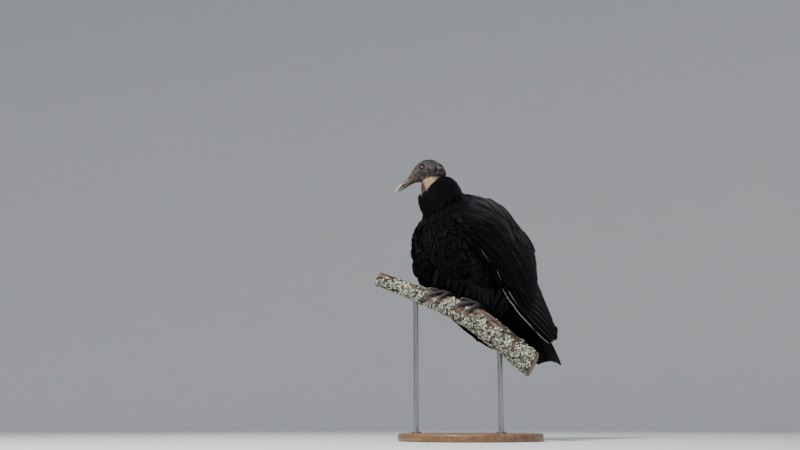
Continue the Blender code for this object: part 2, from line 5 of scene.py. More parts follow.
import bpy
import bmesh
import numpy as np
from mathutils import Matrix, Vector
from mathutils.bvhtree import BVHTree
from mathutils.kdtree import KDTree


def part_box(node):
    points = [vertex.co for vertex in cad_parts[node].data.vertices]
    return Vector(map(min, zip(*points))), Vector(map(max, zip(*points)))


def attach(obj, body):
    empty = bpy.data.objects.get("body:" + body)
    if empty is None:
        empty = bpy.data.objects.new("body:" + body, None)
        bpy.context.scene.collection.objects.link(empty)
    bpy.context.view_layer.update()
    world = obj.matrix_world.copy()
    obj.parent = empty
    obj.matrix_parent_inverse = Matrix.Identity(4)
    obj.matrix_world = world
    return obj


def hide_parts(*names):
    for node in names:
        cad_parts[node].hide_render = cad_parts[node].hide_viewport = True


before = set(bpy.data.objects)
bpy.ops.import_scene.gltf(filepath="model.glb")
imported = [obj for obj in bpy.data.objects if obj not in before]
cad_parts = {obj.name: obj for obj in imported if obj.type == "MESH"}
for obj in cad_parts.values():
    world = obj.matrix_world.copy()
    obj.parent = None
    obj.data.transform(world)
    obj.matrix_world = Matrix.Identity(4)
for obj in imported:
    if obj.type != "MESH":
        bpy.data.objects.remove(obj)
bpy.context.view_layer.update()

RNG = np.random.default_rng(20260)

# ------------------------------------------------------------ driving sizes
ORIGIN = np.array([0.0, -0.030, 0.330])      # bird's own frame in the row frame
COAT = 0.0060                # depth of the plumage over the skin
HEAD_AT = np.array([-0.012, -0.082, 0.312])
TURN = math.radians(38.0)
PITCH = math.radians(24.0)
EYE_AT = (0.0147, 0.0142, 0.0085)            # along the bill, sideways, up
EYE_RADIUS = 0.0062
PERCH_LENGTH = 0.430
SLOPE = math.radians(28.3)
YAW = math.radians(38.0)
PERCH_MID = np.array([0.0, 0.0, -0.0245])
PERCH_EASE, PERCH_DIVE, PERCH_DIVE_AT, PERCH_KNEE = 0.115, 0.200, 0.030, 0.020
PERCH_GIRTH = np.array(((-0.215, 0.0188), (-0.120, 0.0188), (-0.060, 0.0224),
                        (0.000, 0.0270), (0.070, 0.0305), (0.215, 0.0300)))
FOOT_APART = 0.040
FOOT_TURN, FOOT_BACK = -44.0, -0.16
TOES = {"2": (-24.0, 0.044, 0.015), "3": (0.0, 0.066, 0.017),
        "4": (24.0, 0.048, 0.014), "1": (176.0, 0.026, 0.015)}
TAIL_BASE = np.array([0.0, 0.186, 0.045])
TAIL_TIP = np.array([0.004, 0.3070, -0.1350])
TAIL_HALF_WIDTH = 0.059
TAIL_TWIST = 17.0

FACING = np.array([-math.sin(TURN), -math.cos(TURN), 0.0])
LEFTWARD = np.array([math.cos(TURN), -math.sin(TURN), 0.0])
UP = np.array([0.0, 0.0, 1.0])
BILLWARD = FACING * math.cos(PITCH) - UP * math.sin(PITCH)
CROWNWARD = FACING * math.sin(PITCH) + UP * math.cos(PITCH)
PERCH_ALONG = np.array([math.cos(YAW) * math.cos(SLOPE),
                        math.sin(YAW) * math.cos(SLOPE), -math.sin(SLOPE)])
PERCH_FRONT = np.array([math.sin(YAW), -math.cos(YAW), 0.0])
PERCH_UP = np.cross(PERCH_FRONT, PERCH_ALONG)
PERCH_UP = PERCH_UP / np.linalg.norm(PERCH_UP)
if PERCH_UP[2] < 0.0:
    PERCH_UP = -PERCH_UP


# ------------------------------------------------------------ small maths
def unit(a):
    a = np.asarray(a, float)
    return a / np.maximum(np.linalg.norm(a, axis=-1, keepdims=True), 1e-12)


def smooth(x, a, b):
    t = np.clip((x - a) / (b - a), 0.0, 1.0)
    return t * t * (3.0 - 2.0 * t)


def hash3(ix, iy, iz, seed):
    n = (ix.astype(np.int64) * 374761393 + iy.astype(np.int64) * 668265263
         + iz.astype(np.int64) * 2147483647 + seed * 1274126177)
    n = (n ^ (n >> 13)) * 1274126177
    n = n ^ (n >> 16)
    return (n & 0xFFFFFF).astype(float) / 0xFFFFFF


def noise(p, size, seed=0, octaves=1):
    """Smooth value noise, about -1 to 1, features about 'size' across."""
    total = np.zeros(len(p))
    amp, norm, s = 1.0, 0.0, size
    for o in range(octaves):
        q = p / s + 100.0
        i = np.floor(q)
        f = q - i
        f = f * f * f * (f * (f * 6 - 15) + 10)
        v = 0.0
        for dx in (0, 1):
            wx = f[:, 0] if dx else 1 - f[:, 0]
            for dy in (0, 1):
                wy = f[:, 1] if dy else 1 - f[:, 1]
                for dz in (0, 1):
                    wz = f[:, 2] if dz else 1 - f[:, 2]
                    v = v + wx * wy * wz * hash3(i[:, 0] + dx, i[:, 1] + dy,
                                                 i[:, 2] + dz, seed + o * 17)
        total += amp * (2.0 * v - 1.0)
        norm += amp
        amp *= 0.5
        s *= 0.5
    return total / norm


def catmull(points, t):
    """Catmull-Rom through points (n, ...) at parameters t in 0..n-1."""
    pts = np.asarray(points, float)
    n = len(pts)
    ext = np.concatenate([pts[:1] * 2 - pts[1:2], pts,
                          pts[-1:] * 2 - pts[-2:-1]])
    t = np.asarray(t, float)
    i = np.clip(np.floor(t).astype(int), 0, n - 2)
    u = (t - i).reshape(t.shape + (1,) * (pts.ndim - 1))
    p0, p1, p2, p3 = ext[i], ext[i + 1], ext[i + 2], ext[i + 3]
    return 0.5 * (2 * p1 + (p2 - p0) * u + (2 * p0 - 5 * p1 + 4 * p2 - p3) * u ** 2
                  + (3 * p1 - p0 - 3 * p2 + p3) * u ** 3)


def catmull_loop(points, t):
    """The same round a closed loop, t in 0..n."""
    pts = np.asarray(points, float)
    n = len(pts)
    t = np.asarray(t, float)
    i = np.floor(t).astype(int)
    u = (t - i).reshape(t.shape + (1,) * (pts.ndim - 1))
    p0, p1, p2, p3 = (pts[(i + k) % n] for k in (-1, 0, 1, 2))
    return 0.5 * (2 * p1 + (p2 - p0) * u + (2 * p0 - 5 * p1 + 4 * p2 - p3) * u ** 2
                  + (3 * p1 - p0 - 3 * p2 + p3) * u ** 3)


# ------------------------------------------------------------ mesh helpers
def mesh_object(name, verts, faces, material=None, smooth_shade=True):
    me = bpy.data.meshes.new(name)
    me.from_pydata([tuple(v) for v in verts] if not isinstance(verts, np.ndarray)
                   else verts.tolist(), [], faces if isinstance(faces, list)
                   else faces.tolist())
    me.update()
    if smooth_shade:
        me.polygons.foreach_set("use_smooth", [True] * len(me.polygons))
    ob = bpy.data.objects.new(name, me)
    bpy.context.scene.collection.objects.link(ob)
    if material is not None:
        me.materials.append(material)
    return ob


def coords(me):
    co = np.empty(len(me.vertices) * 3)
    me.vertices.foreach_get("co", co)
    return co.reshape(-1, 3)


def normals(me):
    no = np.empty(len(me.vertices) * 3, np.float32)
    me.vertex_normals.foreach_get("vector", no)
    return no.reshape(-1, 3).astype(float)


def set_coords(me, co):
    me.vertices.foreach_set("co", np.asarray(co, np.float32).ravel())
    me.update()


def evaluated(ob):
    dg = bpy.context.evaluated_depsgraph_get()
    dg.update()
    return bpy.data.meshes.new_from_object(ob.evaluated_get(dg))


def apply_all(ob):
    me = evaluated(ob)
    ob.modifiers.clear()
    old = ob.data
    ob.data = me
    bpy.data.meshes.remove(old)
    return ob


def join_meshes(name, meshes):
    """One new object from (verts, faces) pairs."""
    vs, fs, base = [], [], 0
    for v, f in meshes:
        v = np.asarray(v, float)
        vs.append(v)
        fs.extend([tuple(int(i) + base for i in q) for q in f])
        base += len(v)
    return mesh_object(name, np.concatenate(vs), fs)


def loft(rings, blunt=0.3):
    """Closed skin over a row of rings (k, n, 3)."""
    rings = np.asarray(rings, float)
    k, n = rings.shape[:2]
    verts = rings.reshape(-1, 3)
    faces = []
    for a in range(k - 1):
        for i in range(n):
            j = (i + 1) % n
            faces.append((a * n + i, a * n + j, (a + 1) * n + j,
                          (a + 1) * n + i))
    tips = []
    for end, inner in ((0, 1), (k - 1, k - 2)):
        here, there = rings[end].mean(0), rings[inner].mean(0)
        tips.append(here + (here - there) * blunt)
    verts = np.concatenate([verts, np.array(tips)])
    t0 = k * n
    for i in range(n):
        j = (i + 1) % n
        faces.append((j, i, t0))
        faces.append(((k - 1) * n + i, (k - 1) * n + j, t0 + 1))
    return verts, faces


def fine_loft(rings, along, around, blunt=0.3):
    """Loft through the rings, smoothly refined both ways."""
    rings = np.asarray(rings, float)
    k, n = rings.shape[:2]
    r = catmull(rings, np.linspace(0, k - 1, along))
    r = np.swapaxes(r, 0, 1)
    r = catmull_loop(r, np.arange(around) * (n / around))
    return loft(np.swapaxes(r, 0, 1), blunt)


def bspline_loft(rings, along, around, blunt=0.3):
    """Loft under the rings: the smooth limit of a subdivided cage."""
    rings = np.asarray(rings, float)
    k, n = rings.shape[:2]
    ext = np.concatenate([rings[:1] * 2 - rings[1:2], rings,
                          rings[-1:] * 2 - rings[-2:-1]])
    t = np.linspace(0, k - 1, along)
    i = np.clip(np.floor(t).astype(int), 0, k - 2)
    u = (t - i)[:, None, None]
    b = ((1 - u) ** 3 / 6, (3 * u ** 3 - 6 * u ** 2 + 4) / 6,
         (-3 * u ** 3 + 3 * u ** 2 + 3 * u + 1) / 6, u ** 3 / 6)
    r = sum(w * ext[i + m] for m, w in enumerate(b))
    r = np.swapaxes(r, 0, 1)
    t = np.arange(around) * (n / around)
    i = np.floor(t).astype(int)
    u = (t - i)[:, None, None]
    b = ((1 - u) ** 3 / 6, (3 * u ** 3 - 6 * u ** 2 + 4) / 6,
         (-3 * u ** 3 + 3 * u ** 2 + 3 * u + 1) / 6, u ** 3 / 6)
    r = sum(w * r[(i + m - 1) % n] for m, w in enumerate(b))
    return loft(np.swapaxes(r, 0, 1), blunt)


def section(centre, side, up, hw, rise, drop, count=12, square=2.0, keel=1.0):
    swell = 4.0 / (3.0 + math.cos(2.0 * math.pi / count))
    out = []
    for i in range(count):
        a = 2.0 * math.pi * i / count
        c, s = math.cos(a), math.sin(a)
        w = hw * math.copysign(abs(c) ** (2.0 / square), c)
        h = (rise if s >= 0 else drop) * math.copysign(abs(s) ** (2.0 / square), s)
        if s < 0:
            w *= 1.0 - (1.0 - keel) * s * s
        out.append(np.asarray(centre) + (np.asarray(side) * w
                                         + np.asarray(up) * h) * swell)
    return np.array(out)


def voxel(ob, size, smooth_steps=0):
    mod = ob.modifiers.new("remesh", "REMESH")
    mod.mode = "VOXEL"
    mod.voxel_size = size
    mod.use_smooth_shade = True
    if smooth_steps:
        sm = ob.modifiers.new("smooth", "SMOOTH")
        sm.factor = 0.5
        sm.iterations = smooth_steps
    return apply_all(ob)


# ------------------------------------------------------------ body forms
def trunk_rings():
    stations = (
        (-0.036, 0.246, 66.0, 0.042, 0.046, 0.060, 1.0),
        (-0.022, 0.226, 62.0, 0.066, 0.072, 0.088, 1.0),
        (0.000, 0.200, 58.0, 0.084, 0.093, 0.113, 0.95),
        (0.030, 0.168, 53.0, 0.092, 0.090, 0.130, 0.80),
        (0.066, 0.134, 49.0, 0.093, 0.083, 0.136, 0.66),
        (0.102, 0.104, 46.0, 0.085, 0.074, 0.122, 0.66),
        (0.136, 0.076, 42.0, 0.068, 0.060, 0.096, 0.75),
        (0.164, 0.048, 35.0, 0.050, 0.044, 0.066, 0.9),
        (0.188, 0.018, 28.0, 0.036, 0.032, 0.036, 1.0),
    )
    out = []
    for y, z, lean, hw, rise, drop, keel in stations:
        th = math.radians(lean)
        out.append(section((0.0, y, z), (1, 0, 0),
                           (0.0, math.sin(th), math.cos(th)),
                           hw, rise, drop, 12, 2.15, keel))
    return np.array(out)


def neck_rings():
    stations = (
        ((0.0200, -0.0560), (-0.0400, -0.0100), 0.0250, 1.0),
        ((0.0262, -0.0650), (-0.0540, -0.0175), 0.0330, 1.0),
        ((0.0285, -0.0750), (-0.0700, -0.0300), 0.0400, 0.9),
        ((0.0262, -0.0860), (-0.0810, -0.0460), 0.0470, 0.7),
        ((0.0205, -0.1010), (-0.0890, -0.0630), 0.0530, 0.5),
        ((0.0060, -0.1200), (-0.0860, -0.0800), 0.0500, 0.2),
    )
    out = []
    for (ff, fz), (bf, bz), hw, turned in stations:
        front = HEAD_AT + FACING * ff + UP * fz
        back = HEAD_AT + FACING * bf + UP * bz
        mid = (front + back) * 0.5
        mid[0] *= turned
        up = back - front
        half = np.linalg.norm(up) * 0.5
        rot = Matrix.Rotation(TURN * (1.0 - turned), 3, "Z")
        up = np.array(rot @ Vector(unit(up)))
        side = np.array(rot @ Vector(LEFTWARD))
        out.append(section(mid, side, up, hw, half, half, 8, 2.0))
    return np.array(out)


WING_LEFT = (
    ((0.076, -0.072, 0.190), (0.088, -0.084, 0.162), 0.004, 0.020),
    ((0.066, -0.034, 0.222), (0.098, -0.062, 0.128), 0.014, 0.034),
    ((0.046, 0.026, 0.2500), (0.103, -0.030, 0.096), 0.024, 0.040),
    ((0.028, 0.084, 0.2640), (0.105, 0.006, 0.058), 0.031, 0.040),
    ((0.014, 0.139, 0.2450), (0.102, 0.041, 0.012), 0.034, 0.036),
    ((0.010, 0.187, 0.2120), (0.096, 0.074, -0.020), 0.033, 0.030),
    ((0.013, 0.227, 0.1730), (0.087, 0.113, -0.047), 0.028, 0.022),
    ((0.022, 0.2330, 0.1400), (0.077, 0.153, -0.072), 0.021, 0.015),
    ((0.028, 0.2170, 0.0980), (0.067, 0.192, -0.091), 0.014, 0.011),
    ((0.032, 0.2470, 0.0380), (0.057, 0.229, -0.104), 0.009, 0.008),
    ((0.035, 0.2770, -0.0180), (0.048, 0.263, -0.110), 0.004, 0.006),
    ((0.038, 0.3010, -0.0640), (0.041, 0.290, -0.106), 0.002, 0.0035),
)
WING_RIGHT = (
    ((0.074, -0.070, 0.190), (0.086, -0.078, 0.166), 0.003, 0.020),
    ((0.064, -0.034, 0.222), (0.092, -0.071, 0.136), 0.010, 0.034),
    ((0.046, 0.024, 0.2460), (0.096, -0.063, 0.098), 0.018, 0.040),
    ((0.028, 0.074, 0.2530), (0.100, -0.050, 0.052), 0.025, 0.042),
    ((0.015, 0.124, 0.2320), (0.101, -0.024, 0.008), 0.029, 0.038),
    ((0.011, 0.170, 0.1980), (0.098, 0.018, -0.024), 0.030, 0.032),
    ((0.014, 0.212, 0.1580), (0.092, 0.064, -0.058), 0.027, 0.024),
    ((0.022, 0.2240, 0.1240), (0.082, 0.106, -0.090), 0.021, 0.016),
    ((0.027, 0.2200, 0.0780), (0.070, 0.148, -0.114), 0.014, 0.011),
    ((0.031, 0.2400, 0.0180), (0.060, 0.190, -0.131), 0.009, 0.008),
    ((0.034, 0.2600, -0.0420), (0.050, 0.226, -0.139), 0.004, 0.006),
    ((0.037, 0.2760, -0.0900), (0.042, 0.254, -0.138), 0.002, 0.0035),
)


def wing_lines(side):
    st = WING_LEFT if side == "left" else WING_RIGHT
    up = np.array([s[0] for s in st])
    low = np.array([s[1] for s in st])
    return up, low, np.array([s[2] for s in st]), np.array([s[3] for s in st])


def wing_point(side, s, u, lift=0.0):
    """Point on the folded wing's outer face: s along its stations, u from
    the upper edge (0) to the lower edge (1)."""
    up, low, bulge, thick = wing_lines(side)
    s = np.asarray(s, float)
    u = np.asarray(u, float)
    a, b, g = catmull(up, s), catmull(low, s), catmull(bulge, s)
    mid0 = 0.5 * (catmull(up, np.clip(s - .5, 0, 11))
                  + catmull(low, np.clip(s - .5, 0, 11)))
    mid1 = 0.5 * (catmull(up, np.clip(s + .5, 0, 11))
                  + catmull(low, np.clip(s + .5, 0, 11)))
    out = np.cross(unit(b - a), unit(mid1 - mid0))
    out = unit(out * np.where(out[..., :1] < 0, -1.0, 1.0))
    uu = u[..., None]
    arch = np.maximum(4.0 * u * (1.0 - u), 0.0)[..., None]
    p = a + (b - a) * uu + out * (g[..., None] * 0.86 * arch
                                  + np.asarray(lift)[..., None])
    if side == "right":
        p = p * np.array([-1.0, 1.0, 1.0])
        out = out * np.array([-1.0, 1.0, 1.0])
    return p, out


def wing_rings(side, shrink=0.0, stop=12, first=0):
    """Rings round the folded wing, drawn in by 'shrink'."""
    up, low, bulge, thick = wing_lines(side)
    mids = 0.5 * (up + low)
    n = len(mids)
    out = []
    for k in range(first, stop):
        along = unit(mids[min(k + 1, n - 1)] - mids[max(k - 1, 0)])
        a, b = up[k], low[k]
        span = unit(b - a)
        a, b = a + span * shrink, b - span * shrink
        nrm = np.cross(span, along)
        nrm = unit(nrm if nrm[0] > 0 else -nrm)
        ring = []
        for u in (0, .25, .5, .75, 1.0):
            arch = 4 * u * (1 - u)
            ring.append(a + (b - a) * u + nrm * (bulge[k] * arch - shrink))
        for u in (.75, .5, .25):
            arch = 4 * u * (1 - u)
            depth = max(thick[k] * (.55 + .45 * arch) - shrink, shrink + .001)
            ring.append(a + (b - a) * u + nrm * (bulge[k] * arch - depth))
        ring = np.array(ring)
        ring[:, 0] = np.maximum(ring[:, 0], 0.0014)
        if side == "right":
            ring = ring * np.array([-1.0, 1.0, 1.0])
        out.append(ring)
    return np.array(out)


def perch_radius(s):
    return np.interp(s, PERCH_GIRTH[:, 0], PERCH_GIRTH[:, 1])


def perch_point(s, angle, height=0.0):
    s, angle, height = (np.asarray(v, float) for v in (s, angle, height))
    r = (perch_radius(s) + height)[..., None]
    far = np.maximum(np.abs(s) - 0.07, 0.0) / 0.1
    sway = (0.0022 * np.sin(s * 21.0 + 0.6) * far)[..., None]
    lift = (0.0016 * np.sin(s * 27.0 - 0.4) * far)[..., None]
    sag = (PERCH_EASE * (np.hypot(np.minimum(s, 0.0), PERCH_KNEE) - PERCH_KNEE)
           + PERCH_DIVE * (np.hypot(np.maximum(s - PERCH_DIVE_AT, 0.0),
                                    PERCH_KNEE) - PERCH_KNEE))[..., None]
    return (PERCH_MID + PERCH_ALONG * s[..., None]
            + PERCH_FRONT * (r * np.sin(angle)[..., None] + sway)
            + PERCH_UP * (r * np.cos(angle)[..., None] + lift - sag))


def foot_along(side):
    return (1.0 if side == "left" else -1.0) * FOOT_APART + 0.006


def toe_points(side, digit, d, height):
    sgn = 1.0 if side == "left" else -1.0
    heading = math.radians(FOOT_TURN + sgn * TOES[digit][0])
    d = np.asarray(d, float)
    r = perch_radius(foot_along(side)) + height
    angle = d * math.cos(heading) / r + FOOT_BACK
    s = foot_along(side) + d * math.sin(heading)
    return perch_point(s, angle, height)


def tarsus_points(side):
    sgn = 1.0 if side == "left" else -1.0
    foot = perch_point(foot_along(side), FOOT_BACK - 0.04, 0.0125)
    return foot, foot + np.array([sgn * 0.004, 0.034, 0.062])


def thigh_rings(side):
    sgn = 1.0 if side == "left" else -1.0
    foot, heel = tarsus_points(side)
    hip = np.array([sgn * 0.054, 0.032, 0.122])
    cuff = foot + (heel - foot) * 0.16
    bow = np.array([sgn * 0.010, -0.006, 0.0])
    out = []
    for share, hw, depth in ((0.0, .036, .056), (.26, .037, .053),
                             (.52, .032, .045), (.77, .023, .033),
                             (1.0, .014, .020)):
        mid = hip + (cuff - hip) * share + bow * math.sin(math.pi * share)
        out.append(section(mid, (1, 0, 0), (0, -1, 0), hw, depth, depth, 8, 2.0))
    return np.array(out)


def tube_rings(path, radii, count=12, guide=UP, flat=1.0):
    out = []
    path = np.asarray(path, float)
    for i, p in enumerate(path):
        along = unit(path[min(i + 1, len(path) - 1)] - path[max(i - 1, 0)])
        side = unit(np.cross(along, guide))
        up = np.cross(side, along)
        a = 2 * np.pi * np.arange(count) / count
        r = radii[i]
        out.append(p + side * (r * flat * np.cos(a))[:, None]
                   + up * (r * np.sin(a))[:, None])
    return np.array(out)


def head_point(x, y, z):
    x, y, z = (np.asarray(v, float)[..., None] for v in (x, y, z))
    return HEAD_AT + BILLWARD * x + LEFTWARD * y + CROWNWARD * z


def head_ring(x, top, bottom, hw, count=10, square=2.2, lean=0.0):
    up = unit(CROWNWARD + BILLWARD * lean)
    half = 0.5 * (top - bottom)
    return section(head_point(x, 0.0, 0.5 * (top + bottom)), LEFTWARD, up,
                   hw, half, half, count, square)


HEAD_STATIONS = (
    (-0.0345, -0.003, -0.027, 0.0120), (-0.0265, 0.0120, -0.036, 0.0180),
    (-0.0120, 0.0245, -0.038, 0.0216), (0.0050, 0.0275, -0.032, 0.0222),
    (0.0190, 0.0240, -0.0250, 0.0192), (0.0290, 0.0190, -0.0200, 0.0155),
    (0.0390, 0.0122, -0.0165, 0.0115), (0.0480, 0.0060, -0.0161, 0.0092),
    (0.0600, 0.0010, -0.0172, 0.0076), (0.0740, -0.0042, -0.0192, 0.0060),
)


# ------------------------------------------------------------ outer surface
def fix_imported(ob):
    """Verts and faces of a CAD node in the bird's frame, seams welded."""
    bm = bmesh.new()
    bm.from_mesh(ob.data)
    bmesh.ops.remove_doubles(bm, verts=bm.verts, dist=1e-5)
    bmesh.ops.recalc_face_normals(bm, faces=bm.faces)
    bm.normal_update()
    v = np.array([x.co + x.normal * 0.0006 for x in bm.verts])
    f = [tuple(q.index for q in p.verts) for p in bm.faces]
    bm.free()
    return v - ORIGIN, f


def union_surface(names, size, steps):
    ob = join_meshes("outer", [fix_imported(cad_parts[n]) for n in names])
    voxel(ob, size, steps)
    me = ob.data
    me.calc_loop_triangles()
    tri = np.empty(len(me.loop_triangles) * 3, np.int32)
    me.loop_triangles.foreach_get("vertices", tri)
    co, no = coords(me), normals(me)
    bpy.data.objects.remove(ob)
    bpy.data.meshes.remove(me)
    return Surface(co, tri.reshape(-1, 3), no)


class Surface:
    """Snaps points to a closed surface and gives its smooth normal there."""

    def __init__(self, co, tri, no):
        self.co, self.tri, self.no = co, tri, no
        self.tree = BVHTree.FromPolygons(co.tolist(), tri.tolist(),
                                         all_triangles=True)

    def snap(self, pts):
        n = len(pts)
        loc = np.empty((n, 3))
        idx = np.empty(n, int)
        near = self.tree.find_nearest
        for k in range(n):
            hit = near(pts[k])
            loc[k] = hit[0]
            idx[k] = hit[2]
        t = self.tri[idx]
        a, b, c = self.co[t[:, 0]], self.co[t[:, 1]], self.co[t[:, 2]]
        v0, v1, v2 = b - a, c - a, loc - a
        d00, d01, d11 = (v0 * v0).sum(1), (v0 * v1).sum(1), (v1 * v1).sum(1)
        d20, d21 = (v2 * v0).sum(1), (v2 * v1).sum(1)
        den = np.maximum(d00 * d11 - d01 * d01, 1e-18)
        v = np.clip((d11 * d20 - d01 * d21) / den, 0, 1)
        w = np.clip((d00 * d21 - d01 * d20) / den, 0, 1)
        nn = (self.no[t[:, 0]] * (1 - v - w)[:, None]
              + self.no[t[:, 1]] * v[:, None] + self.no[t[:, 2]] * w[:, None])
        return loc, unit(nn)


BODY = ["trunk", "neck", "wing_left", "wing_right", "thigh_left",
        "thigh_right"]
FULL = union_surface(BODY + ["primaries_left", "primaries_right"], 0.0036, 6)


# ------------------------------------------------------------ lie of the coat
def ring_guides(rings, value):
    """Guide points with the direction from ring to ring and a coat size."""
    rings = np.asarray(rings, float)
    k = len(rings)
    pos, way, val = [], [], []
    for i in range(k):
        d = unit(rings[min(i + 1, k - 1)] - rings[max(i - 1, 0)])
        pos.append(rings[i])
        way.append(d)
        for q in rings[i]:
            val.append(value(i / (k - 1.0), q))
    return np.concatenate(pos), np.concatenate(way), np.array(val)


# ------------------------------------------------------------ skin
def bird(ob):
    """Moves a finished piece from the bird's frame to its place."""
    ob.data.transform(Matrix.Translation(Vector(ORIGIN)))
    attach(ob, "root")
    return ob


def head_coords(p):
    q = p - HEAD_AT
    return q @ BILLWARD, q @ LEFTWARD, q @ CROWNWARD


def throat_rings():
    out = []
    for z, back, front, hw in ((-.006, -.030, .006, .0150),
                               (-.024, -.036, .0178, .0185),
                               (-.042, -.040, .0186, .0198),
                               (-.060, -.036, .0184, .0190),
                               (-.080, -.040, .0120, .0190)):
        mid = HEAD_AT + FACING * (.5 * (back + front)) + UP * z
        half = .5 * (front - back)
        out.append(section(mid, LEFTWARD, FACING, hw, half, half, 12, 2.1))
    return np.array(out)


def ridged(x, sharp=1.0):
    """Rounded folds with sharp valleys, 0 in the valley to 1 on the fold."""
    return np.abs(np.sin(x)) ** (0.5 * sharp)


def head_skin():
    head = bspline_loft([head_ring(*s) for s in HEAD_STATIONS], 90, 80, .12)
    throat = bspline_loft(throat_rings(), 60, 72, .2)
    ob = join_meshes("head_skin", [head, throat])
    voxel(ob, 0.00052, 5)
    me = ob.data
    p = coords(me)
    n = normals(me)
    x, y, z = head_coords(p)
    # the horn's end: nothing of the cere beyond it
    keep_in = smooth(x, 0.066, 0.0705)
    side = np.sign(y)
    ay = np.abs(y)
    rel = p - HEAD_AT
    down = -rel[:, 2]
    fwd = rel @ FACING

    h = np.zeros(len(p))
    # ---- crown and hind head: creased skin, folds running front to back
    ex, ez = x - EYE_AT[0], z - EYE_AT[2]
    re = np.hypot(ex, ez)
    ang = np.arctan2(ez, ex)
    w1 = noise(p, 0.009, 1, 2)
    w2 = noise(p, 0.004, 5, 2)
    crown = smooth(z, 0.004, 0.014) * smooth(x, 0.044, 0.030)
    arc = np.arctan2(ay, np.maximum(z + 0.004, 1e-4)) * 0.022
    w3 = noise(p, 0.0065, 15, 1)
    folds = ridged((arc / 0.0040 + 1.7 * w1 + 0.5 * w3) * math.pi)
    cross = ridged((x / 0.0052 + 1.5 * w1 + 0.6 * w2) * math.pi)
    h += crown * (0.00085 * (folds - 0.7) + 0.00075 * (cross - 0.7))
    # ---- cheek and hind cheek: folds sweeping back and down from the eye
    cheek = smooth(z, 0.008, 0.000) * smooth(x, 0.040, 0.026) \
        * smooth(down, 0.050, 0.030)
    sweep = (z * 0.85 + x * 0.45)
    c1 = ridged((sweep / 0.0046 + 2.0 * w1 + 0.5 * w3) * math.pi)
    c2 = ridged(((x * 0.85 - z * 0.5) / 0.0058 + 1.8 * w1 + w2) * math.pi)
    h += cheek * (0.00105 * (c1 - 0.7) + 0.00075 * (c2 - 0.7))
    # ---- rings of small folds round the eye
    ring = smooth(re, 0.0042, 0.0056) * smooth(re, 0.0135, 0.0085) \
        * smooth(ay, 0.008, 0.013)
    h += ring * 0.00075 * (ridged((re / 0.0025 + 0.7 * w1
                                   + 0.35 * np.sin(3 * ang)) * math.pi) - 0.6)
    # brow: a soft ridge over the eye
    brow = np.exp(-((ez - 0.0078 + 0.10 * ex) / 0.0026) ** 2) \
        * smooth(ex, -0.013, -0.006) * smooth(ex, 0.018, 0.009) \
        * smooth(ay, 0.007, 0.012)
    h += 0.0011 * brow
    # ---- ear: an oval opening with raised folds before and behind it
    px, pz = x + 0.0130, z + 0.0140
    ear = np.hypot(px / 0.0036, pz / 0.0052)
    on = smooth(ay, 0.008, 0.014)
    h *= 1 - on * np.exp(-(ear / 1.25) ** 4)
    h += on * (-0.0044 * np.exp(-(ear / 0.72) ** 2)
               + 0.0010 * np.exp(-((ear - 1.45) / 0.40) ** 2))
    for k, (ax0, az0, ln, wd, am) in enumerate((
            (-0.0205, -0.0110, 0.0095, 0.0016, 0.0014),
            (-0.0245, -0.0150, 0.0100, 0.0015, 0.0013),
            (-0.0170, -0.0030, 0.0090, 0.0015, 0.0010),
            (-0.0050, -0.0190, 0.0080, 0.0016, 0.0012),
            (-0.0185, -0.0220, 0.0110, 0.0016, 0.0013))):
        u = (x - ax0) * 0.45 + (z - az0) * 0.89
        v = (x - ax0) * 0.89 - (z - az0) * 0.45 + 40 * u * u
        h += on * am * np.exp(-(v / wd) ** 2) * np.exp(-(u / ln) ** 4)
    # ---- cere and lores: smoother, lengthwise creases and a long nostril
    cere = smooth(x, 0.026, 0.034)
    h += cere * (1 - keep_in) * 0.00022 * (ridged(
        (ay / 0.0022 + 0.5 * w1 + z / 0.004) * math.pi) - 0.7)
    nx, nz = (x - 0.0500), (z - (0.0505 - x) * 0.30 + 0.0018)
    slot = np.exp(-(nx / 0.0050) ** 4 - (nz / 0.00115) ** 2)
    h -= smooth(ay, 0.0028, 0.0048) * 0.0026 * slot
    h += smooth(ay, 0.0028, 0.0048) * 0.0006 * np.exp(
        -(nx / 0.0068) ** 4 - ((nz - 0.0019) / 0.0011) ** 2)
    # ---- gape: the line of the mouth back to below the eye
    gz = -0.0127 - 0.10 * (0.066 - x) - 2.2 * np.maximum(0.030 - x, 0) ** 1.5
    gape = np.exp(-((z - gz) / 0.00085) ** 2) * smooth(x, 0.0125, 0.0200) \
        * smooth(ay, 0.0015, 0.0035)
    h -= 0.0016 * gape
    h += 0.00045 * np.exp(-((z - gz - 0.0021) / 0.0011) ** 2) \
        * smooth(x, 0.014, 0.022) * (1 - keep_in)
    # ---- throat and neck: deep upright folds, pinched across
    throat = smooth(down, 0.018, 0.030) * smooth(x, 0.034, 0.022)
    turn = np.arctan2(y, fwd + 0.012)
    t1 = ridged((turn * 0.020 / 0.0038 + 1.1 * w1 + 0.5 * w2) * math.pi)
    t2 = ridged((down / 0.0044 + 1.2 * w1 + 0.4 * np.sin(turn * 4)) * math.pi)
    h += throat * (0.0010 * (t1 - 0.7) + 0.00075 * (t2 - 0.7)
                   + 0.00035 * noise(p, 0.0021, 19, 1))
    # ---- pebbled skin everywhere but on the cere's end
    h += (1 - keep_in) * (0.00016 * noise(p, 0.0013, 9, 2)
                          + 0.00030 * w2 * (1 - cere))
    h *= smooth(x, 0.0712, 0.069) * 0.97 + 0.03
    p = p + n * h[:, None]
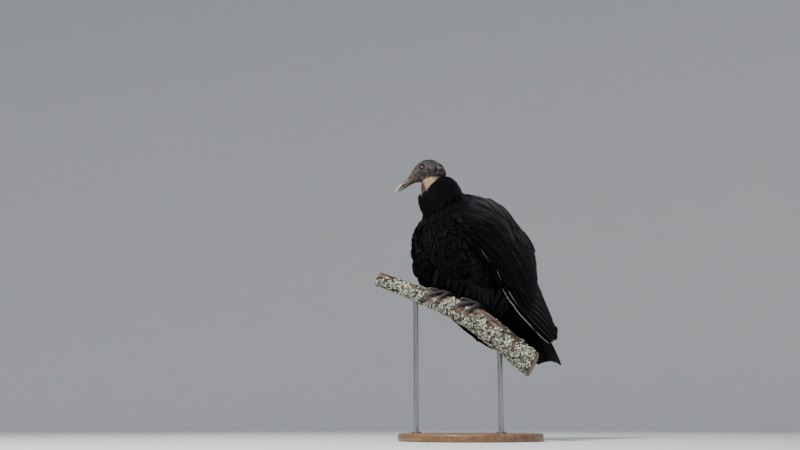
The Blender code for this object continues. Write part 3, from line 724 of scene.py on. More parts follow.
    # ---- lids over the eyeballs
    for sgn in (1.0, -1.0):
        c = head_point(EYE_AT[0], sgn * EYE_AT[1], EYE_AT[2])
        out = LEFTWARD * sgn
        d = p - c
        r = np.linalg.norm(d, axis=1)
        du = d / np.maximum(r, 1e-9)[:, None]
        a = np.degrees(np.arccos(np.clip(du @ out, -1, 1)))
        dx, dz = du @ BILLWARD, du @ CROWNWARD
        az = np.arctan2(dz, dx)
        # opening: wider along the bill, a little flat on top
        rim = 35.0 + 3.5 * np.cos(2 * az) - 2.5 * np.maximum(np.sin(az), 0)
        near = (a < 80) & (r < 0.0125)
        inside = a < rim
        lid = EYE_RADIUS + 0.00095 - 0.0004 * smooth(a - rim, 0.0, 6.0) \
            + 0.00055 * np.exp(-((a - rim - 4.0) / 4.0) ** 2)
        blend = smooth(a - rim, 30.0, 8.0)
        want = np.where(inside, EYE_RADIUS - 0.0012, lid)
        edge = smooth(a - rim, -3.5, 0.5)
        want = np.where(a < rim + 1, (EYE_RADIUS - 0.0014) * (1 - edge)
                        + lid * edge, want)
        newr = r + (want - r) * np.where(inside, 1.0, blend)
        p = np.where(near[:, None], c + du * newr[:, None], p)
    set_coords(me, p)
    # ---- the cere ends against the horn
    bm = bmesh.new()
    bm.from_mesh(me)
    cut = head_point(0.0698, 0, 0)
    bmesh.ops.bisect_plane(bm, geom=bm.verts[:] + bm.edges[:] + bm.faces[:],
                           plane_co=Vector(cut), plane_no=Vector(BILLWARD),
                           clear_outer=True)
    edges = [e for e in bm.edges if e.is_boundary]
    bmesh.ops.holes_fill(bm, edges=edges, sides=0)
    bmesh.ops.triangulate(bm, faces=[f for f in bm.faces if len(f.verts) > 4])
    bm.to_mesh(me)
    bm.free()
    return ob


def shrunk_body():
    """Body under the plumage: every form drawn in by the coat's depth."""
    parts = []
    for rings, cap in ((trunk_rings(), .2), (neck_rings(), .2)):
        mid = rings.mean(1, keepdims=True)
        d = rings - mid
        r = np.linalg.norm(d, axis=2, keepdims=True)
        rings = mid + d * (1 - COAT * 1.05 / np.maximum(r, 0.012))
        parts.append(bspline_loft(rings, 60, 48, cap))
    for side in ("left", "right"):
        rings = wing_rings(side, COAT, stop=8)
        mid = rings.mean(1, keepdims=True)          # blunt wrist, drawn back
        rings[0] = (rings[0] - mid[0]) * 0.8 + mid[0] * 0.55 + mid[1] * 0.45
        parts.append(bspline_loft(rings, 48, 32, 0.0))
        rings = thigh_rings(side)
        mid = rings.mean(1, keepdims=True)
        d = rings - mid
        r = np.linalg.norm(d, axis=2, keepdims=True)
        rings = mid + d * (1 - COAT / np.maximum(r, 0.010))
        parts.append(bspline_loft(rings, 32, 28, 0.1))
    # root of the tail
    root = []
    for t, w, d in ((0.0, .026, .018), (.12, .026, .014), (.26, .024, .009)):
        mid = TAIL_BASE + (TAIL_TIP - TAIL_BASE) * t
        root.append(section(mid, (1, 0, 0), (0, .83, .56), w, d, d, 12, 2.2))
    parts.append(bspline_loft(root, 14, 24, .1))
    ob = join_meshes("body_skin", parts)
    voxel(ob, 0.0036, 4)
    # the neck draws in under the bare throat above the cowl's edge
    me = ob.data
    p = coords(me)
    hid = smooth(face_cowl(p), 0.012, -0.001) \
        * (np.linalg.norm(p - HEAD_AT, axis=1) < 0.10)
    axis = HEAD_AT + UP * (p[:, 2:3] - HEAD_AT[2]) - FACING * 0.010
    set_coords(me, p + (axis - p) * (0.55 * hid)[:, None])
    return ob


def leg_skin():
    """Toes, feet and lower legs, scaled all over."""
    tubes, axes = [], []
    for side in ("left", "right"):
        turn = math.radians(FOOT_TURN)
        s = foot_along(side)
        a = np.linspace(-0.32, 0.36, 16)
        ball = perch_point(s + 0.028 * a * math.sin(turn),
                           FOOT_BACK + a * math.cos(turn), 0.0072)
        rad = 0.0080 * np.sqrt(np.clip(1 - (a / 0.42) ** 2, 0.15, 1))
        tubes.append(loft(tube_rings(ball, rad, 18, PERCH_UP, 1.08), .3))
        axes.append((ball, rad, 0))
        for digit in TOES:
            reach = TOES[digit][1]
            d = np.linspace(0, reach, 46)
            t = d / reach
            height = np.interp(t, (0, .25, .5, .75, 1), (.0078, .0066, .0060,
                                                         .0055, .0046))
            joints = {"2": (.52,), "3": (.36, .70), "4": (.30, .55, .78),
                      "1": (.55,)}[digit]
            rad = np.interp(t, (0, .25, .5, .75, 1), (.0054, .0050, .0046,
                                                      .0042, .0033))
            for j in joints:                      # pads under the joints
                rad = rad + 0.00045 * np.exp(-((t - j) / 0.07) ** 2)
            path = toe_points(side, digit, d, height)
            tubes.append(loft(tube_rings(path, rad, 16, PERCH_UP, 0.96), .4))
            axes.append((path, rad, 1))
        foot, heel = tarsus_points(side)
        t = np.linspace(0, 1, 50)[:, None]
        path = foot + (heel - foot) * t
        rad = np.interp(t[:, 0], (0, .12, .5, .85, 1), (.0068, .0054, .0048,
                                                        .0058, .0070))
        tubes.append(loft(tube_rings(path, rad, 20, np.array([0, 1, 0])), .2))
        axes.append((path, rad, 2))
    ob = join_meshes("leg_skin", tubes)
    voxel(ob, 0.00085, 4)
    me = ob.data
    p, n = coords(me), normals(me)
    # scutes: broad plates over the top of each toe, granules elsewhere
    pts = np.concatenate([a[0] for a in axes])
    lens = np.concatenate([np.concatenate([[0], np.cumsum(np.linalg.norm(
        np.diff(a[0], axis=0), axis=1))]) for a in axes])
    kind = np.concatenate([np.full(len(a[0]), a[2]) for a in axes])
    kd = KDTree(len(pts))
    for i, q in enumerate(pts):
        kd.insert(q, i)
    kd.balance()
    near = np.array([kd.find(q)[1] for q in p])
    along = lens[near]
    k = kind[near]
    base = pts[near]
    nxt = pts[np.minimum(near + 1, len(pts) - 1)]
    way = unit(nxt - base)
    along = along + ((p - base) * way).sum(1).clip(-.001, .001)
    top = n @ PERCH_UP
    plate = np.where(k == 1, smooth(top, -0.05, 0.35),
                     np.where(k == 2, smooth(n @ np.array([0, -1, 0]), .0, .4),
                              0.0))
    step = np.where(k == 2, 0.0036, 0.0024)
    f = (along / step) % 1.0
    scute = smooth(f, 0.0, 0.22) * (1 - 0.35 * f) - 0.55
    h = plate * 0.00042 * scute \
        + (1 - plate) * 0.00016 * noise(p, 0.0011, 21, 1) \
        + 0.00008 * noise(p, 0.0005, 23, 1)
    set_coords(me, p + n * h[:, None])
    return ob


# ------------------------------------------------------------ lie and size
def guides():
    """Where each tract's feathers point, and how long and wide they are:
    length, half width, looseness, tone, kind (0 body, 1 wing outer face,
    2 wing inner face), station."""
    P, W, V = [], [], []

    def take(rings, value, kind=lambda i, m: 0):
        k, m = rings.shape[:2]
        for i in range(k):
            a, b = rings[max(i - 1, 0)], rings[min(i + 1, k - 1)]
            d = unit(b - a)
            for j in range(m):
                P.append(rings[i][j])
                W.append(d[j])
                V.append(value(i, j) + (kind(i, j), i))

    tr = trunk_rings()

    def trunk_value(i, j):
        t = i / 8.0
        s = math.sin(2 * math.pi * j / 12)            # +1 back, -1 breast
        if s > 0.3:                                    # mantle and scapulars
            ln = 0.036 + 0.034 * min(t / 0.5, 1.0)
            return (ln, 0.0105 + 0.006 * min(t / .5, 1), 0.9, 0.55)
        if s < -0.3:
            ln = 0.030 + 0.022 * min(t / 0.7, 1.0)     # breast to vent
            return (ln, 0.0085 + 0.004 * t, 1.0, 0.35)
        return (0.040, 0.0110, 0.8, 0.40)
    take(tr, trunk_value)

    def neck_value(i, j):
        t = i / 5.0
        return (0.013 + 0.016 * t, 0.0021 + 0.0042 * t ** 1.3, 0.6, 0.12)
    take(neck_rings(), neck_value)
    for side in ("left", "right"):
        take(thigh_rings(side), lambda i, j: (0.032, 0.0075, 0.9, 0.3))
        rings = wing_rings(side)

        def wing_value(i, j):
            inner = j > 4
            if inner:
                return (0.034, 0.0095, 0.6, 0.6)
            ln = (0.014, 0.020, 0.030, 0.042, 0.055, 0.06)[min(i, 5)]
            wd = (0.0052, 0.0068, 0.0095, 0.0125, 0.015, 0.016)[min(i, 5)]
            return (ln, wd, 0.5, 0.5)
        take(rings, wing_value, lambda i, j: 2 if j > 4 else 1)
    return np.array(P), np.array(W), np.array(V)


GUIDE_P, GUIDE_W, GUIDE_V = guides()


def lie(p, knn=7):
    """Direction of the coat and its sizes at points p."""
    way = np.empty((len(p), 3))
    val = np.empty((len(p), GUIDE_V.shape[1]))
    near = np.empty(len(p), int)
    for a in range(0, len(p), 4000):
        q = p[a:a + 4000]
        d2 = ((q[:, None, :] - GUIDE_P[None]) ** 2).sum(2)
        idx = np.argpartition(d2, knn, axis=1)[:, :knn]
        dd = np.take_along_axis(d2, idx, axis=1)
        w = 1.0 / (dd + 1e-5) ** 1.5
        w /= w.sum(1, keepdims=True)
        way[a:a + 4000] = (GUIDE_W[idx] * w[..., None]).sum(1)
        val[a:a + 4000] = (GUIDE_V[idx] * w[..., None]).sum(1)
        near[a:a + 4000] = idx[np.arange(len(q)), dd.argmin(1)]
    return unit(way), val, near


def lay(roots, length, rows, surf, turn=None, stiff=0.35):
    """Centre lines that follow the surface from each root along the coat."""
    p, n = surf.snap(roots)
    d, _, _ = lie(p)
    if turn is not None:
        side = np.cross(n, d)
        d = d * np.cos(turn)[:, None] + side * np.sin(turn)[:, None]
    d = unit(d - n * (d * n).sum(1)[:, None])
    C, N, D = [p], [n], [d]
    step = (length / (rows - 1))[:, None]
    for k in range(rows - 1):
        q = p + d * step
        s, m = surf.snap(q)
        off = np.linalg.norm(s - q, axis=1)
        free = off > 0.45 * step[:, 0]
        p2 = np.where(free[:, None], q - n * 0.15 * step, s)
        m = np.where(free[:, None], n, unit(0.5 * n + 0.5 * m))
        f, _, _ = lie(p2)
        d2 = unit((1 - stiff) * d + stiff * f)
        d2 = unit(d2 - m * (d2 * m).sum(1)[:, None])
        d2 = np.where(free[:, None], d, d2)
        p, n, d = p2, m, d2
        C.append(p)
        N.append(n)
        D.append(d)
    return (np.stack(C, 1), np.stack(N, 1), np.stack(D, 1))


def outline(t, kind):
    """Half width along a feather as a share of its widest."""
    if kind == "body":
        base = 0.30 + 0.70 * smooth(t, 0.0, 0.50)
        tip = np.clip(1 - (np.clip(t - 0.52, 0, 1) / 0.485) ** 2.0,
                      0.0, 1) ** 0.62
    elif kind == "covert":
        base = 0.45 + 0.55 * smooth(t, 0.0, 0.4)
        tip = np.sqrt(np.clip(1 - (np.clip(t - 0.72, 0, 1) / 0.284) ** 2.4,
                              0.0, 1))
    elif kind == "plume":
        base = 0.45 + 0.55 * smooth(t, 0.0, 0.4)
        tip = np.clip(1 - np.clip(t - 0.45, 0, 1) / 0.56, 0.0, 1) ** 0.7
    elif kind == "primary":
        base = 0.35 + 0.65 * smooth(t, 0.0, 0.25)
        tip = np.sqrt(np.clip(1 - (np.clip(t - 0.86, 0, 1) / 0.1405) ** 2.0,
                              0.0, 1)) * (1 - 0.22 * smooth(t, 0.62, 0.92))
    else:                                              # flight, tail
        base = 0.40 + 0.60 * smooth(t, 0.0, 0.25)
        tip = np.sqrt(np.clip(1 - (np.clip(t - 0.90, 0, 1) / 0.1005) ** 2.6,
                              0.0, 1))
    return np.maximum(base * tip, 0.035)


def build_feathers(name, C, N, D, outer, inner, kind, lift, tone, chart,
                   cols=(-1, -.55, 0, .55, 1), thick=0.00032, camber=0.10,
                   ragged=0.08, material=None, rib=0.0, dish=0.0, splits=None,
                   roll=None, t=None):
    """Solid vanes along centre lines C (k, rows, 3).  outer and inner are
    the half widths each side of the shaft; lift (k, rows) raises each row
    along the normal; chart (k, 2) is the root's place on the unwrap."""
    k, rows = C.shape[:2]
    t = np.linspace(0, 1, rows) if t is None else t
    w = outline(t, kind)[None, :]
    S = unit(np.cross(N, D))
    if roll is not None:
        S, N = (unit(S * np.cos(roll)[:, None, None]
                     + N * np.sin(roll)[:, None, None]),
                unit(N * np.cos(roll)[:, None, None]
                     - S * np.sin(roll)[:, None, None]))
    cols = np.asarray(cols, float)
    nc = len(cols)
    jag = 1 + ragged * RNG.uniform(-1, 1, (k, rows, 2)) \
        * smooth(t, 0.25, 0.6)[None, :, None]
    half = np.stack([outer[:, None] * w * jag[..., 0],
                     inner[:, None] * w * jag[..., 1]], 2)   # (k, rows, 2)
    side = np.where(cols < 0, 0, 1)
    off = cols[None, None, :] * half[:, :, side]             # (k, rows, nc)
    big = np.maximum(outer, inner)[:, None, None]
    drop = camber * off ** 2 / big - dish * np.abs(off)
    base = C + N * lift[..., None]
    top = (base[:, :, None, :] + S[:, :, None, :] * off[..., None]
           - N[:, :, None, :] * drop[..., None])
    if splits is not None:           # barbs part here and there along the edge
        lag = splits[:, :, None] * np.abs(cols)[None, None, :]
        top = top + D[:, :, None, :] * lag[..., None]
    body = (1 - cols ** 2)[None, None, :] * thick
    if rib:
        body = body + rib * np.exp(-(off / 0.0011) ** 2) \
            * (1 - 0.75 * t)[None, :, None]
        top = top + N[:, :, None, :] * (rib * 0.6 * np.exp(
            -(off / 0.0011) ** 2) * (1 - 0.75 * t)[None, :, None])[..., None]
    low = (top - N[:, :, None, :] * body[..., None])[:, :, 1:-1, :]
    ring = np.concatenate([top, low[:, :, ::-1, :]], 2)      # (k, rows, nr, 3)
    nr = ring.shape[2]
    verts = ring.reshape(-1, 3)
    # faces
    r = np.arange(rows - 1)[:, None] * nr
    c = np.arange(nr)[None, :]
    c2 = (c + 1) % nr
    quad = np.stack([r + c, r + c2, r + nr + c2, r + nr + c], -1).reshape(-1, 4)
    caps = []
    for row, flip in ((0, False), (rows - 1, True)):
        b = row * nr
        for j in range(1, nc - 2):
            q = [b + j, b + j + 1, b + nr - j - 1, b + nr - j]
            caps.append(q if flip else q[::-1])
    quad = np.concatenate([quad, np.array(caps)]) if caps else quad
    tri = []
    for row, flip in ((0, False), (rows - 1, True)):
        b = row * nr
        for q in ([b, b + 1, b + nr - 1], [b + nc - 2, b + nc - 1, b + nc]):
            tri.append(q if flip else q[::-1])
    tri = np.array(tri)
    base_i = (np.arange(k) * rows * nr)[:, None, None]
    quads = (quad[None] + base_i).reshape(-1, 4)
    tris = (tri[None] + base_i).reshape(-1, 3)
    loops = np.concatenate([quads.ravel(), tris.ravel()])
    starts = np.concatenate([np.arange(len(quads)) * 4,
                             len(quads) * 4 + np.arange(len(tris)) * 3])
    me = bpy.data.meshes.new(name)
    me.vertices.add(len(verts))
    me.vertices.foreach_set("co", verts.astype(np.float32).ravel())
    me.loops.add(len(loops))
    me.loops.foreach_set("vertex_index", loops.astype(np.int32))
    me.polygons.add(len(starts))
    me.polygons.foreach_set("loop_start", starts.astype(np.int32))
    me.update(calc_edges=True)
    me.polygons.foreach_set("use_smooth", np.ones(len(starts), bool))
    # vane coordinates in centimetres, and the bake patch at the root
    offr = np.concatenate([off, off[:, :, -2:0:-1]], 2)
    colr = np.concatenate([cols, cols[-2:0:-1]])
    long = np.concatenate([np.zeros((k, 1)), np.cumsum(np.linalg.norm(
        np.diff(C, axis=1), axis=2), axis=1)], 1)
    u = offr.reshape(-1) * 100
    v = np.repeat(long[:, :, None], nr, 2).reshape(-1) * 100
    vane = np.stack([u, v], 1)
    tt = np.broadcast_to(t[None, :, None], (k, rows, nr)).reshape(-1)
    cc = np.broadcast_to(colr[None, None, :], (k, rows, nr)).reshape(-1)
    ch = np.repeat(chart, rows * nr, 0)
    # the underside lies a little along, so the end faces have width too
    below = np.tile(np.arange(nr) >= nc, k * rows) * 0.00025
    bake = np.clip(ch + np.stack([0.0015 * cc,
                                  0.003 * (tt - 0.5) + below], 1),
                   0.0005, 0.9995)
    for layer, data in (("OFBake", bake), ("Vane", vane)):
        uv = me.uv_layers.new(name=layer)
        uv.data.foreach_set("uv", data[loops].astype(np.float32).ravel())
    at = me.attributes.new("tone", "FLOAT", "POINT")
    at.data.foreach_set("value", np.repeat(tone, rows * nr).astype(np.float32))
    at = me.attributes.new("along", "FLOAT", "POINT")
    at.data.foreach_set("value", tt.astype(np.float32))
    me.update()
    ob = bpy.data.objects.new(name, me)
    bpy.context.scene.collection.objects.link(ob)
    if material is not None:
        me.materials.append(material)
    return bird(ob)


def dense(rows):
    """Places of a feather's rows along it, closer together to the tip."""
    return 1 - (1 - np.linspace(0, 1, rows)) ** 1.7


def spread_chart(chart):
    """Fits a piece's unwrap to the square."""
    lo, hi = chart.min(0), chart.max(0)
    return 0.01 + 0.98 * (chart - lo) / np.maximum(hi - lo, 1e-9)


def body_chart(p):
    """Cylinder unwrap of the skin about the body's long axis."""
    a = np.array([0.0, -0.05, 0.27])
    b = np.array([0.0, 0.20, -0.02])
    ax = unit(b - a)
    up = unit(np.cross(ax, np.array([1.0, 0, 0])))
    q = p - a
    return np.stack([np.arctan2(q[:, 0], q @ up) / (2 * math.pi) + 0.5,
                     q @ ax], 1)


# ------------------------------------------------------------ materials
class Nodes:
    """Short hand for a node tree."""

    def __init__(self, name):
        self.mat = bpy.data.materials.new(name)
        self.mat.use_nodes = True
        self.t = self.mat.node_tree
        self.bsdf = self.t.nodes["Principled BSDF"]

    def add(self, kind, **props):
        n = self.t.nodes.new(kind)
        for k, v in props.items():
            setattr(n, k, v)
        return n

    def link(self, a, b):
        self.t.links.new(a, b)

    def put(self, socket, value):
        if isinstance(value, bpy.types.NodeSocket):
            self.link(value, socket)
        else:
            socket.default_value = value

    def math(self, op, a, b=None, c=None, clamp=False):
        n = self.add("ShaderNodeMath", operation=op, use_clamp=clamp)
        for i, v in enumerate((a, b, c)):
            if v is not None:
                self.put(n.inputs[i], v)
        return n.outputs[0]

    def mix(self, fac, a, b, mode="MIX"):
        n = self.add("ShaderNodeMix", data_type="RGBA", blend_type=mode)
        self.put(n.inputs[0], fac)
        for i, v in ((6, a), (7, b)):
            self.put(n.inputs[i], v if isinstance(v, bpy.types.NodeSocket)
                     else (*v, 1.0))
        return n.outputs[2]

    def ramp(self, fac, stops, interp="LINEAR"):
        n = self.add("ShaderNodeValToRGB")
        n.color_ramp.interpolation = interp
        el = n.color_ramp.elements
        while len(el) < len(stops):
            el.new(0.5)
        for e, (pos, col) in zip(el, stops):
            e.position = pos
            e.color = (*col, 1.0) if len(col) == 3 else col
        self.put(n.inputs[0], fac)
        return n.outputs[0]

    def noise(self, vec, scale, detail=2.0, rough=0.5, distort=0.0, out=0):
        n = self.add("ShaderNodeTexNoise")
        if vec is not None:
            self.link(vec, n.inputs["Vector"])
        n.inputs["Scale"].default_value = scale
        n.inputs["Detail"].default_value = detail
        n.inputs["Roughness"].default_value = rough
        n.inputs["Distortion"].default_value = distort
        return n.outputs[out]

    def voronoi(self, vec, scale, feature="F1", out="Distance", rand=1.0):
        n = self.add("ShaderNodeTexVoronoi", feature=feature)
        if vec is not None:
            self.link(vec, n.inputs["Vector"])
        n.inputs["Scale"].default_value = scale
        n.inputs["Randomness"].default_value = rand
        return n.outputs[out]

    def coord(self, which="Object"):
        return self.add("ShaderNodeTexCoord").outputs[which]

    def attr(self, name, out="Fac"):
        return self.add("ShaderNodeAttribute", attribute_name=name).outputs[out]

    def scaled(self, vec, sx, sy, sz):
        n = self.add("ShaderNodeMapping")
        self.link(vec, n.inputs["Vector"])
        n.inputs["Scale"].default_value = (sx, sy, sz)
        return n.outputs[0]

    def bump(self, height, strength, distance, normal=None):
        n = self.add("ShaderNodeBump")
        n.inputs["Strength"].default_value = strength
        n.inputs["Distance"].default_value = distance
        self.link(height, n.inputs["Height"])
        if normal is not None:
            self.link(normal, n.inputs["Normal"])
        return n.outputs[0]

    def set(self, **kw):
        names = {"base": "Base Color", "rough": "Roughness",
                 "metal": "Metallic", "normal": "Normal", "ior": "IOR",
                 "spec": "Specular IOR Level", "sheen": "Sheen Weight",
                 "sheen_rough": "Sheen Roughness", "coat": "Coat Weight",
                 "coat_rough": "Coat Roughness", "sub": "Subsurface Weight",
                 "sub_scale": "Subsurface Scale",
                 "sub_radius": "Subsurface Radius"}
        for k, v in kw.items():
            s = self.bsdf.inputs[names[k]]
            if isinstance(v, bpy.types.NodeSocket):
                self.link(v, s)
            elif k == "base":
                s.default_value = (*v, 1.0)
            else:
                s.default_value = v


def vane_material(name, dark, pale, rough=0.46, barb=0.5, spec=0.2,
                  sheen=0.3):
    """Feather vane: barbs slant from the shaft, catching light in strands;
    each feather has its own tone and a slightly worn, browner tip."""
    m = Nodes(name)
    uv = m.add("ShaderNodeUVMap", uv_map="Vane").outputs[0]
    sep = m.add("ShaderNodeSeparateXYZ")
    m.link(uv, sep.inputs[0])
    ax = m.math("ABSOLUTE", sep.outputs[0])
    w = m.math("SUBTRACT", sep.outputs[1], m.math("MULTIPLY", ax, 1.15))
    comb = m.add("ShaderNodeCombineXYZ")
    m.link(m.math("MULTIPLY", w, 9.0), comb.inputs[0])
    m.link(m.math("MULTIPLY", ax, 0.9), comb.inputs[1])
    m.link(m.math("MULTIPLY", m.attr("tone"), 40.0), comb.inputs[2])
    strands = m.noise(comb.outputs[0], 1.6, 3.0, 0.6)
    fine = m.math("SINE", m.math("MULTIPLY", w, 95.0))
    tone = m.attr("tone")
    along = m.attr("along")
    base = m.mix(tone, dark, pale)
    base = m.mix(m.math("MULTIPLY", strands, 0.80), base,
                 [c * 0.35 for c in dark])
    tip = m.math("MULTIPLY", m.math("POWER", along, 6.0), 0.45)
    base = m.mix(tip, base, (pale[0] * 1.7, pale[1] * 1.45, pale[2] * 1.2))
    r = m.math("MULTIPLY_ADD", strands, 0.30, rough - 0.14)
    h = m.math("ADD", m.math("MULTIPLY", strands, 1.0),
               m.math("MULTIPLY", fine, 0.22))
    # the glossier feathers glint where a strand turns to the light
    gloss = m.math("MULTIPLY", m.math("POWER", tone, 5.0),
                   m.math("MULTIPLY", strands, sheen))
    m.set(base=base, rough=r, spec=m.math("ADD", gloss, spec),
          normal=m.bump(h, barb, 0.0012))
    return m.mat


def skin_material():
    """Bare skin of head and neck, scaled skin of the legs, and the dark
    skin under the plumage, by the masks painted on the mesh; one mask paints shade
    into the valleys between the folds."""
    m = Nodes("skin")
    obj = m.coord()
    tint = m.attr("tint", "Color")
    clear_of_crease_shade = m.attr("clear_of_crease_shade")
    leg = m.attr("leg")
    spots = m.noise(obj, 520.0, 4.0, 0.62)
    patch = m.noise(obj, 130.0, 3.0, 0.55)
    pore = m.voronoi(obj, 1150.0)
    # painted shade: darker in the valleys between the folds, where the mask read
    # from the mesh is low
    base = m.mix(m.math("MULTIPLY", m.math("SUBTRACT", 1.0, clear_of_crease_shade), 0.88),
                 tint, m.mix(1.0, tint, (0.22, 0.16, 0.16), "MULTIPLY"))
    base = m.mix(m.ramp(patch, [(0.30, (0, 0, 0)), (0.72, (1, 1, 1))]),
                 m.mix(0.35, base, m.mix(1.0, base, (0.52, 0.48, 0.50),
                                         "MULTIPLY")), base)
    base = m.mix(m.math("MULTIPLY", m.math("SUBTRACT", spots, 0.42), 1.3,
                        clamp=True), base,
                 m.mix(1.0, base, (1.75, 1.66, 1.62), "MULTIPLY"))
    h = m.math("ADD", m.math("MULTIPLY", spots, 0.7),
               m.math("MULTIPLY", pore, 0.5))
    rough = m.math("MULTIPLY_ADD", patch, 0.22, 0.50)
    # under the plumage the skin is dull and as dark as the down
    shine = m.ramp(tint, [(0.006, (0.02,) * 3), (0.014, (0.24,) * 3)])
    m.set(base=base, rough=rough, spec=shine, sub=0.06, sub_scale=0.002,
          normal=m.bump(h, 0.60, 0.0004))
    m.bsdf.inputs["Subsurface Radius"].default_value = (1.0, 0.35, 0.2)
    return m.mat


def horn_material(name, tip, base_col, start, end):
    """Horn: darker and worn at the base, ivory to the tip, with fine
    growth lines and chips."""
    m = Nodes(name)
    obj = m.coord()
    along = m.attr("along")
    lines = m.noise(m.scaled(obj, 1, 1, 1), 900.0, 3.0, 0.6)
    blotch = m.noise(obj, 260.0, 3.0, 0.6)
    f = m.math("ADD", along, m.math("MULTIPLY", m.math("SUBTRACT", blotch,
                                                       0.5), 0.35))
    col = m.ramp(f, [(start, base_col), (end, tip)])
    col = m.mix(m.math("MULTIPLY", m.math("SUBTRACT", lines, 0.35), 0.55,
                       clamp=True), col,
                m.mix(1.0, col, (0.70, 0.66, 0.60), "MULTIPLY"))
    m.set(base=col, rough=m.math("MULTIPLY_ADD", blotch, 0.22, 0.26),
          spec=0.5, sub=0.05, sub_scale=0.001, coat=0.12, coat_rough=0.3,
          normal=m.bump(lines, 0.25, 0.0003))
    return m.mat


def eye_material():
    m = Nodes("eye")
    a = m.attr("ring")
    obj = m.coord()
    fib = m.noise(obj, 1500.0, 3.0, 0.6)
    iris = m.mix(fib, (0.030, 0.014, 0.007), (0.075, 0.036, 0.018))
    col = m.ramp(a, [(0.0, (0.002, 0.002, 0.002)), (0.30, (0.002, 0.002, 0.002)),
                     (0.335, (1, 1, 1)), (1.0, (1, 1, 1))])
    base = m.mix(1.0, col, iris, "MULTIPLY")
    rim = m.ramp(a, [(0.0, (1, 1, 1)), (0.60, (1, 1, 1)),
                     (0.70, (0.18, 0.14, 0.13)), (1.0, (0.15, 0.12, 0.11))])
    base = m.mix(1.0, base, rim, "MULTIPLY")
    m.set(base=base, rough=0.12, spec=0.5, coat=1.0, coat_rough=0.02)
    return m.mat


def claw_material():
    m = Nodes("claw")
    obj = m.coord()
    n = m.noise(obj, 420.0, 3.0, 0.6)
    col = m.mix(n, (0.010, 0.009, 0.009), (0.050, 0.044, 0.040))
    m.set(base=col, rough=m.math("MULTIPLY_ADD", n, 0.25, 0.22), spec=0.5,
          coat=0.15, normal=m.bump(n, 0.2, 0.0003))
    return m.mat


def bark_material():
    """Flaking grey-brown bark on top with painted shade in its cracks, thin
    crusts of pale lichen elsewhere, and raw sawn wood at the two ends."""
    m = Nodes("bark")
    uvn = m.attr("barkco", "Vector")
    crust = m.attr("crust")
    clear_of_crack_shade = m.attr("clear_of_crack_shade")
    cut = m.attr("sawn")
    v = m.scaled(uvn, 1.0, 1.0, 0.20)
    plates = m.noise(v, 150.0, 5.0, 0.66, 0.8)
    tint = m.noise(uvn, 34.0, 3.0, 0.55)
    fine = m.noise(uvn, 900.0, 3.0, 0.6)
    fibre = m.noise(m.scaled(uvn, 1.0, 1.0, 0.07), 640.0, 3.0, 0.62)
    bark = m.ramp(plates, [(0.30, (0.014, 0.011, 0.009)),
                           (0.42, (0.064, 0.051, 0.042)),
                           (0.52, (0.165, 0.138, 0.114)),
                           (0.64, (0.310, 0.268, 0.222)),
                           (0.80, (0.135, 0.110, 0.092))])
    bark = m.mix(m.ramp(tint, [(0.42, (0, 0, 0)), (0.60, (1, 1, 1))]), bark,
                 m.mix(1.0, bark, (1.10, 0.93, 0.80), "MULTIPLY"))
    bark = m.mix(m.math("MULTIPLY", fibre, 0.6), bark,
                 m.mix(1.0, bark, (0.42, 0.36, 0.31), "MULTIPLY"))
    # painted shade: darker the deeper a point lies in the bark's cracks
    bark = m.mix(m.math("SUBTRACT", 1.0, clear_of_crack_shade, clamp=True), bark,
                 m.mix(1.0, bark, (0.16, 0.13, 0.11), "MULTIPLY"))
    spots = m.noise(uvn, 300.0, 4.0, 0.65)
    lich = m.ramp(spots, [(0.34, (0.014, 0.014, 0.010)),
                          (0.50, (0.075, 0.082, 0.060)),
                          (0.64, (0.400, 0.435, 0.350))])
    mask = m.math("MULTIPLY_ADD", m.math("SUBTRACT", spots, 0.5), 0.9, crust)
    mask = m.ramp(mask, [(0.50, (0, 0, 0)), (0.60, (1, 1, 1))])
    base = m.mix(mask, bark, lich)
    # sawn face: rings about the heart, checks running out
    rings = m.attr("rings")
    wob = m.math("ADD", rings, m.math("MULTIPLY", fine, 0.05))
    ring = m.math("SINE", m.math("MULTIPLY", wob, 75.0))
    wood = m.mix(m.math("MULTIPLY_ADD", ring, 0.5, 0.5),
                 (0.250, 0.165, 0.092), (0.400, 0.290, 0.180))
    wood = m.mix(m.math("MULTIPLY", fine, 0.45), wood, (0.13, 0.080, 0.045))
    rind = m.ramp(rings, [(0.90, (0, 0, 0)), (0.955, (1, 1, 1))])
    wood = m.mix(rind, wood, (0.060, 0.040, 0.028))
    base = m.mix(cut, base, wood)
    h = m.math("ADD", m.math("MULTIPLY", plates, 1.0),
               m.math("ADD", m.math("MULTIPLY", fine, 0.35),
                      m.math("MULTIPLY", fibre, 0.45)))
    m.set(base=base, rough=m.math("MULTIPLY_ADD", fine, 0.12, 0.80),
          spec=0.20, normal=m.bump(h, 0.9, 0.0018))
    return m.mat


def lichen_material():
    m = Nodes("lichen")
    obj = m.coord()
    tone = m.attr("tone")
    n = m.noise(obj, 420.0, 4.0, 0.62)
    edge = m.attr("along")
    base = m.ramp(tone, [(0.0, (0.060, 0.066, 0.045)),
                         (0.22, (0.230, 0.260, 0.190)),
                         (0.50, (0.740, 0.800, 0.650)),
                         (1.0, (0.960, 0.980, 0.880))])
    base = m.mix(m.math("MULTIPLY", n, 0.26), base, (0.200, 0.215, 0.165))
    base = m.mix(m.math("SUBTRACT", 1.0, edge, clamp=True), base,
                 m.mix(1.0, base, (0.26, 0.26, 0.24), "MULTIPLY"))
    m.set(base=base, rough=0.86, spec=0.15,
          normal=m.bump(n, 0.6, 0.0010))
    return m.mat


